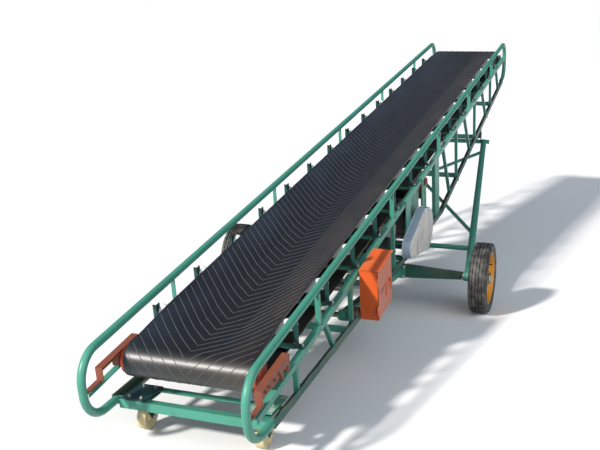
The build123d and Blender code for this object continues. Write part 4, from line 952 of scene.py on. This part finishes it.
# The drive
def hull(spots):
    """Corners of the hull round flat points, counterclockwise."""
    spots = sorted(set(spots))

    def chain(run):
        kept = []
        for spot in run:
            while len(kept) > 1 and ((kept[-1][0] - kept[-2][0]) * (spot[1] - kept[-2][1])
                                     - (kept[-1][1] - kept[-2][1]) * (spot[0] - kept[-2][0])) <= 0:
                kept.pop()
            kept.append(spot)
        return kept[:-1]

    return chain(spots) + chain(spots[::-1])


def guard_outline(inset, turns=72):
    spots = []
    for x, z, radius in GUARD_ROUNDS:
        reach = max(radius - inset, 0.004)
        spots += [(x + reach * math.cos(math.tau * i / turns), z + reach * math.sin(math.tau * i / turns))
                  for i in range(turns)]
    return hull(spots)


# The guard's section from its back, as run outward and inset from the outline
GUARD_SECTION = mm((0, 0.5), (4, 0.5), (4.5, 4), (46, 4), (54, 6.5), (57.5, 12), (57.8, 26), (56, 29),
                   (56, 30))
GUARD_BOLTS = 6
BOLT_INSET = 0.019
PLUG_PROFILE = mm((0, 0), (0, 30), (1.2, 30.5), (2.2, 29), (2.6, 22), (1.4, 20), (1.4, 0))


def guard_shell():
    """Belt guard: rolled edge, flat face with a pressed step, and a back flange."""
    work = Work()
    base = guard_outline(0.0)
    outlines = []
    for run, inset in GUARD_SECTION:
        ring = []
        for i, (x, z) in enumerate(base):
            before, after = base[i - 1], base[(i + 1) % len(base)]
            tangent = Vector((after[0] - before[0], after[1] - before[1])).normalized()
            ring.append(ground(x - tangent.y * inset, -GUARD_IN_Y - run, z + tangent.x * inset))
        outlines.append([work.mesh.verts.new(spot) for spot in ring])
    work.skin(outlines, False)
    work.mesh.faces.new(outlines[0])
    middle_x, middle_z = [sum(values) / len(base) for values in zip(*base)]
    pole = work.mesh.verts.new(ground(middle_x, -GUARD_IN_Y - GUARD_SECTION[-1][0], middle_z))
    work.skin([outlines[-1], [pole]], False)
    work.done("guard_cover", "guard", replaces=["drive_guard"])


def guard_bolts():
    """Bolts round the guard's face, and the plugs over the two shafts."""
    face_y = -GUARD_IN_Y - GUARD_T
    outline = guard_outline(BOLT_INSET)
    gaps = [math.dist(a, b) for a, b in zip(outline, outline[1:] + outline[:1])]
    spots = []
    for k in range(GUARD_BOLTS):
        goal, run, i = sum(gaps) * k / GUARD_BOLTS, 0.0, 0
        while run + gaps[i] < goal:
            run += gaps[i]
            i += 1
        a, b = Vector(outline[i]), Vector(outline[(i + 1) % len(outline)])
        at = a.lerp(b, (goal - run) / gaps[i])
        spots.append((ground(at.x, face_y + 0.0012, at.y), -ACROSS, 0.006))
    add_bolts("guard_bolts", spots, "guard")
    for name, (x, z, _) in zip(("drum", "motor"), GUARD_ROUNDS):
        plug = Work().lathe(ground(x, face_y + 0.003, z), -ACROSS, PLUG_PROFILE, 36)
        plug.done("guard_" + name + "_plug", "guard")


# The motor's profile from its drive end, as distance and radius
MOTOR_BODY = mm((0, 0), (0, 40), (4, 62), (12, 72), (26, 74), (28, 68), (210, 68), (212, 74), (232, 74),
                (234, 73.5), (238, 74), (296, 74), (304, 68), (306, 56), (300, 50), (300, 0))
MOTOR_FINS = 30
FIN_SIZE = (0.003, 0.18, 0.013)
GRILLE_RUN = 0.3005
GRILLE_RADII = (0.014, 0.026, 0.038, 0.048)
LID_RUN, LID_RISE = 0.045, 0.126
LID_SIZE = (0.096, 0.09, 0.005)


def motor():
    """Fan-cooled motor: end bells, fins, fan cowl with slots, and its shaft into the guard."""
    start = ground(MOTOR_X, -MOTOR_OUT_Y, MOTOR_Z)
    work = Work().lathe(start, ACROSS, MOTOR_BODY, 56)
    work.bar(start - ACROSS * 0.062, start + ACROSS * 0.001, 0.014, 24)
    work.done("motor_body", "dark", replaces=["motor"])
    fin = Work().block(UP * 0.005, FIN_SIZE, LEVEL)
    spots = [(start + ACROSS * 0.12 + out * 0.067, out, 1) for out in around(MOTOR_FINS, 0.5)]
    repeat("motor_fins", pattern_mesh("motor_fin", fin), spots, "dark")
    circle, middle = around(32), start + ACROSS * GRILLE_RUN
    grille = [[middle + way * radius for way in circle + circle[:1]] for radius in GRILLE_RADII]
    along_lines("motor_grille", grille, 0.0016, "steel")
    bolts = [(start + ACROSS * 0.0055 + way * 0.062, -ACROSS, 0.0065) for way in around(4, 0.5)]
    lid = start + ACROSS * LID_RUN + UP * LID_RISE
    bolts += [(lid + Vector((x, y, 0.0025)), UP, 0.0045) for x in (-0.034, 0.034) for y in (-0.033, 0.033)]
    add_bolts("motor_bolts", bolts)
    Work().block(lid, LID_SIZE, LEVEL).done("terminal_lid", "beige", bevel=0.0012)


# Faces of the bearings, across from the machine's middle
DRIVE_BEARING_Y, HEAD_BEARING_Y = 0.381, 0.35
DRIVE_BOLT_R = 0.036
NIPPLE_PROFILE = mm((0, 0), (0, 4.5), (6, 4.5), (7, 2.6), (11, 3), (13, 1.6), (13, 0))


def bearing_details():
    """Bolts and grease nipples of the drive, head and tail bearings."""
    bolts, tail_bolts, nipples = [], [], []
    head_w, tail_w = BELT_WHEELS[0][1], BELT_WHEELS[-1][1]
    reach = DRIVE_BOLT_R * math.sqrt(0.5)
    for side in SIDES.values():
        out = ACROSS * side
        face = place(DRIVE_U, side * DRIVE_BEARING_Y, DRIVE_W)
        for du, dw in ((reach, reach), (-reach, reach), (-reach, -reach), (reach, -reach)):
            bolts.append((face + ALONG * du + UPWARD * dw, out, 0.007))
        for u in (HEAD_U - 0.04, HEAD_U + 0.04):
            bolts.append((place(u, side * HEAD_BEARING_Y, head_w), out, 0.009))
        for u in (TAIL_U - 0.025, TAIL_U + 0.025):
            tail_bolts.append((place(u, side * FLANGE_OUT, tail_w + 0.006), out, 0.0085))
        nipples += [place(DRIVE_U, side * (DRIVE_BEARING_Y - 0.016), DRIVE_W + 0.045),
                    place(HEAD_U, side * (HEAD_BEARING_Y - 0.015), head_w + 0.039)]
    add_bolts("bearing_bolts", bolts)
    add_bolts("tail_bearing_bolts", tail_bolts, "primer")
    work = Work()
    for spot in nipples:
        work.lathe(spot, UPWARD, NIPPLE_PROFILE, 12)
    work.done("grease_nipples", "zinc")


def pulley_ends():
    """Welded discs with a hub in the ends of the tail pulley, the head pulley and the drive drum."""
    for name, index, look in (("tail", -1, "pulley_red"), ("head", 0, "steel"), ("drive", 2, "steel")):
        u, w, radius, _ = BELT_WHEELS[index]
        rim = radius - 0.001
        disc = [(-0.002, 0), (-0.002, rim), (0.002, rim), (0.0026, rim - 0.002), (0.0022, rim - 0.009),
                (0.0006, rim - 0.011), (0.0006, 0.036), (0.007, 0.032), (0.01, 0.026), (0.01, 0)]
        work = Work()
        for side in SIDES.values():
            work.lathe(place(u, side * (FACE_HALF + 0.0002), w), ACROSS * side, disc, 48)
        work.done(name + "_pulley_ends", look)


SCREW_U = (0.33, 0.452)
SCREW_Y, SCREW_W = 0.366, -0.14
SCREW_R, SCREW_PITCH, THREAD_DEPTH = 0.006, 0.003, 0.0008
SCREW_NUT_U, TAKE_UP_BOLT_U = (0.418, 0.434), (0.16, 0.2)


def take_up_screws():
    """Threaded rods and nuts that draw the tail pulley's bearings back, and the bolts of their irons."""
    length, root = SCREW_U[1] - SCREW_U[0], SCREW_R - THREAD_DEPTH
    profile = [(0, 0), (0, root)]
    for i in range(int(length / SCREW_PITCH) - 1):
        profile += [(SCREW_PITCH * (i + 0.3), SCREW_R), (SCREW_PITCH * (i + 0.8), root)]
    profile += [(length, root), (length, 0)]
    rods = Work()
    nuts, bolts = [], []
    for side in SIDES.values():
        y = side * SCREW_Y
        rods.lathe(place(SCREW_U[0], y, SCREW_W), ALONG, profile, 12)
        nuts += [(place(u, y, SCREW_W), way, 0.012) for u, way in zip(SCREW_NUT_U, (-ALONG, ALONG))]
        bolts += [(place(u, side * FLANGE_OUT, -0.127), ACROSS * side, 0.0085) for u in TAKE_UP_BOLT_U]
    rods.done("take_up_rods", "steel")
    add_bolts("take_up_nuts", nuts)
    add_bolts("take_up_bolts", bolts, "primer")


# Winch and rope
DRUM_R = 0.04
ROPE_R = 0.0032
ROPE_TURNS = 21
ROPE_START_Y = -0.186
SHEAVE_U = 5.105
SHEAVE_Y = -0.11
SHEAVE_R = 0.036
# Half of the sheave's profile, and the outline of its cheeks along the slope and square to it
SHEAVE_PROFILE = [(-0.01, 0), (-0.01, 0.014), (-0.007, 0.018), (-0.007, SHEAVE_R - 0.002),
                  (-0.0055, SHEAVE_R + 0.004), (-0.0015, SHEAVE_R - 0.004)]
CHEEK = mm((-28, 34), (12, 34), (16, -10), (0, -18), (-16, -10))
CHEEK_Y, CHEEK_T = 0.013, 0.004


def sheave_spot():
    return place(SHEAVE_U + 0.015, SHEAVE_Y, flange_w(SHEAVE_U) - 0.03)


def winch_rope():
    """Rope laid turn by turn on the drum, and its run to the sheave by the top of the legs."""
    centre, reach = ground(WINCH_X, 0, WINCH_Z), DRUM_R + ROPE_R
    steps = 24 * ROPE_TURNS
    wound = []
    for i in range(steps + 1):
        angle = math.tau * ROPE_TURNS * i / steps + math.pi / 2
        y = ROPE_START_Y + (SHEAVE_Y - ROPE_START_Y) * i / steps
        wound.append(centre + Vector((reach * math.cos(angle), y, reach * math.sin(angle))))
    along_lines("winch_rope_turns", [wound], ROPE_R, "rope", sides=8)
    run = bead(centre + Vector((0, SHEAVE_Y, reach)), sheave_spot() + UPWARD * (SHEAVE_R - 0.002), 24)
    along_lines("winch_rope_run", [run], ROPE_R, "rope", sides=8)


def rope_sheave():
    """Grooved wheel in two cheeks, hung under the cross tie that the rope runs to."""
    spot = sheave_spot()
    profile = SHEAVE_PROFILE + mirrored(SHEAVE_PROFILE, 0)
    Work().lathe(spot, ACROSS, profile, 36).done("rope_sheave", "steel")
    cheeks = Work()
    for out in (-ACROSS, ACROSS):
        outline = [spot + out * CHEEK_Y + ALONG * du + UPWARD * dw for du, dw in CHEEK]
        cheeks.plate(outline, out * CHEEK_T)
    cheeks.bar(spot - ACROSS * 0.022, spot + ACROSS * 0.022, 0.007, 16)
    cheeks.done("sheave_cheeks", "dark", bevel=0.0008)


WINCH_RIBS, WINCH_RIB_PITCH = 9, 0.006
WINCH_RIB = mm((0, 30), (0, 40.5), (2.4, 40.5), (2.4, 30))


def winch_details():
    """Bolts of the winch's gear case and brake, and cooling ribs of its motor."""
    case, brake = ground(WINCH_X, -WINCH_CASE_Y, WINCH_Z), ground(WINCH_X, -WINCH_BRAKE_Y, WINCH_Z)
    bolts = [(case + way * 0.057, -ACROSS, 0.006) for way in around(6)]
    bolts += [(brake + way * 0.036, -ACROSS, 0.006) for way in around(3, 0.25)]
    add_bolts("winch_bolts", bolts)
    first = ground(WINCH_X + 0.12, -0.196, WINCH_Z + 0.046)
    ribs = Work()
    for i in range(WINCH_RIBS):
        ribs.lathe(first + ACROSS * WINCH_RIB_PITCH * i, ACROSS, WINCH_RIB, 32, closed=True)
    ribs.done("winch_motor_ribs", "dark")


# Switch box
DOOR_FACE_Y = -BOX_OUT_Y - 0.0039
DOOR_INSET, DOOR_HINGE_INSET = 0.024, 0.03
LOCK_PROFILE = mm((0, 0), (0, 12), (3, 12), (4.2, 11), (4.2, 7), (3, 6.6), (3, 0))
GLAND_PROFILE = mm((-1, 0), (-1, 15), (5, 15), (6, 13), (15, 13), (18, 10), (18, 0))
GLAND_Y, GLAND_PITCH = -0.44, 0.06
BOX_BAR_U = (BOX_U - 0.08, BOX_U + 0.08)
GUARD_BAR_U = (DRIVE_U - 0.34, DRIVE_U - 0.28, DRIVE_U + 0.095)


def box_details():
    """Latch, lock, pressing and glands of the switch box, and the bolts of the bars on the right frame."""
    latch = Work().block(place(BOX_U - 0.03, DOOR_FACE_Y - 0.0015, BOX_W), (0.11, 0.004, 0.016))
    latch.block(place(BOX_U + 0.016, DOOR_FACE_Y - 0.003, BOX_W - 0.03), (0.018, 0.007, 0.058))
    latch.done("door_latch", "orange", "box_door", bevel=0.0012)
    lock = Work().lathe(place(BOX_U - 0.062, DOOR_FACE_Y - 0.003, BOX_W), -ACROSS, LOCK_PROFILE, 28)
    lock.done("door_lock", "steel", "box_door")
    low_u, high_u = BOX_U - BOX_L / 2 + DOOR_HINGE_INSET, BOX_U + BOX_L / 2 - DOOR_INSET
    low_w, high_w = BOX_W - BOX_H / 2 + DOOR_INSET, BOX_W + BOX_H / 2 - DOOR_INSET
    corners = [place(u, DOOR_FACE_Y + 0.0006, w)
               for u, w in ((low_u, low_w), (high_u, low_w), (high_u, high_w), (low_u, high_w))]
    pressing = [bead(a, b, 8) for a, b in zip(corners, corners[1:] + corners[:1])]
    along_lines("door_pressing", pressing, 0.0022, "orange", "box_door")
    glands = Work()
    for i in range(3):
        spot = place(BOX_U - 0.07 + GLAND_PITCH * i, GLAND_Y, BOX_W - BOX_H / 2)
        glands.lathe(spot, -UPWARD, GLAND_PROFILE, 6 if i % 2 else 18)
    glands.done("box_glands", "dark")
    spots = [(u, w) for u in BOX_BAR_U for w in (stringer_w(u), chord_w(u))]
    spots += [(u, chord_w(u)) for u in GUARD_BAR_U]
    add_bolts("hanger_bolts", [(place(u, -GUARD_IN_Y, w), -ACROSS, 0.009) for u, w in spots])


# Running gear
SPINDLE_COLLAR_Y = 0.732
FOOT_PLATE_SIZE = (0.006, 0.09, 0.09)


def running_gear():
    """Collars, foot plates and bolts of the undercarriage."""
    pivots, spindles, plates = Work(), Work(), Work()
    bolts = []
    for side in SIDES.values():
        for y in (ARM_Y - 0.03, ARM_Y + 0.024):
            pivots.collar(ground(ARM_PIVOT_X, side * y, ARM_PIVOT_Z), ACROSS * side, 0.0155, 0.025, 0.006)
        spindle = ground(WHEEL_X, side * SPINDLE_COLLAR_Y, WHEEL_R)
        spindles.collar(spindle, ACROSS * -side, 0.0175, 0.027, 0.008)
        middle = ground(WHEEL_X - 0.031, side * ARM_Y, WHEEL_R)
        plates.block(middle, FOOT_PLATE_SIZE, LEVEL)
        bolts += [(middle + Vector((-0.003, y, z)), -FORWARD, 0.0085)
                  for y in (-0.034, 0.034) for z in (-0.034, 0.034)]
    pivots.done("pivot_collars", "steel")
    plates.done("arm_foot_plates", "green", "lower_arm", bevel=0.0015)
    add_bolts("arm_foot_bolts", bolts, body="lower_arm")
    spindles.done("spindle_collars", "steel", "lower_arm")


CHORD_BOLT_Y = FLANGE_IN + 0.016
CASTER_BOLT_X = (0.3, 0.43)
# Half the spacing of the bolts in the feet of the drive plates and the winch plates
DRIVE_FOOT_HALF, WINCH_FOOT_HALF = 0.14, 0.052


def plate_bolts():
    """Bolts of the casters' plates, and those that hold the drive and winch plates' feet to the chords."""
    winch_u, _ = to_slope(WINCH_X, WINCH_Z)
    feet = [middle + half for middle, reach in ((DRIVE_U, DRIVE_FOOT_HALF), (winch_u, WINCH_FOOT_HALF))
            for half in (-reach, reach)]
    on_casters, on_chords = [], []
    for side in SIDES.values():
        on_casters += [(ground(x, side * y, CASTER_PLATE_TOP_Z), UP, 0.0085)
                       for x in CASTER_BOLT_X for y in (CASTER_Y - 0.03, CASTER_Y + 0.03)]
        on_chords += [(place(u, side * CHORD_BOLT_Y, flange_w(u) + 0.008), UPWARD, 0.009) for u in feet]
    add_bolts("caster_plate_bolts", on_casters)
    add_bolts("side_plate_bolts", on_chords)


belt_ribs()
idler_details()
frame_welds()
for wheel_name, wheel_side in SIDES.items():
    road_wheel(wheel_name, wheel_side)
    caster(wheel_name, wheel_side)
guard_shell()
guard_bolts()
motor()
bearing_details()
pulley_ends()
take_up_screws()
winch_rope()
rope_sheave()
winch_details()
box_details()
running_gear()
plate_bolts()


# Studio
SKY_TAIL, SKY_HEAD = (0.86, 0.93, 1.0, 1), (0.13, 0.19, 0.32, 1)    # behind the camera and beyond the head
SKY_POWER = 0.5


def add_world():
    """Sky that lights the scene, deeper beyond the head; the camera sees a white page instead."""
    world = bpy.data.worlds.new("studio")
    world.use_nodes = True
    made = Tree(world.node_tree)
    along = made.part(made.node("ShaderNodeTexCoord").outputs["Generated"], 0)
    colour = made.node("ShaderNodeMix", {"data_type": "RGBA"},
                       {"Factor": along.fade(-0.5, 0.6), 6: SKY_TAIL, 7: SKY_HEAD})
    sky = made.node("ShaderNodeBackground", None, {"Color": colour.outputs[2], "Strength": SKY_POWER})
    page = made.node("ShaderNodeBackground", None, {"Color": (1, 1, 1, 1)})
    path = made.node("ShaderNodeLightPath")
    mix = made.node("ShaderNodeMixShader", None, {0: path.outputs["Is Camera Ray"], 1: sky.outputs[0],
                                                  2: page.outputs[0]})
    made.join(mix.outputs[0], world.node_tree.nodes["World Output"].inputs["Surface"])
    bpy.context.scene.world = world


SUN_FROM = (-0.74, 0.43, 0.52)    # as the highlight on the tail pulley and the shadow on the switch box show
SUN_POWER = 4.8
FILL_FROM = (-0.5, -0.8, 0.32)
FILL_POWER = 1.5


def add_sun(name, start, power, spread, colour):
    data = bpy.data.lights.new(name, "SUN")
    data.energy = power
    data.angle = math.radians(spread)
    data.color = colour
    lamp = bpy.data.objects.new(name, data)
    lamp.rotation_euler = Vector(start).to_track_quat("Z", "Y").to_euler()
    bpy.context.collection.objects.link(lamp)


FLOOR_REACH = 60
FLOOR_Z = -0.0005
FLOOR_SEEN, FLOOR_LIT = 0.95, 0.34    # how pale the floor looks, and how much light it throws back up


def add_floor():
    mesh = bpy.data.meshes.new("floor")
    corners = [(-1, -1), (1, -1), (1, 1), (-1, 1)]
    mesh.from_pydata([(x * FLOOR_REACH, y * FLOOR_REACH, FLOOR_Z) for x, y in corners], [], [(0, 1, 2, 3)])
    floor = bpy.data.objects.new("floor", mesh)
    bpy.context.collection.objects.link(floor)
    made = Finish("pale_floor", (FLOOR_LIT,) * 3, 0.9)
    path = made.node("ShaderNodeLightPath")
    seen = Amount(made, path.outputs["Is Camera Ray"]) + Amount(made, path.outputs["Is Glossy Ray"])
    made.tint(seen, (FLOOR_SEEN,) * 3)
    mesh.materials.append(made.material)


add_world()
add_sun("sun", SUN_FROM, SUN_POWER, 5, (1.0, 0.96, 0.9))
add_sun("fill", FILL_FROM, FILL_POWER, 70, (0.92, 0.96, 1.0))
add_floor()
bpy.context.scene.view_settings.view_transform = "Standard"
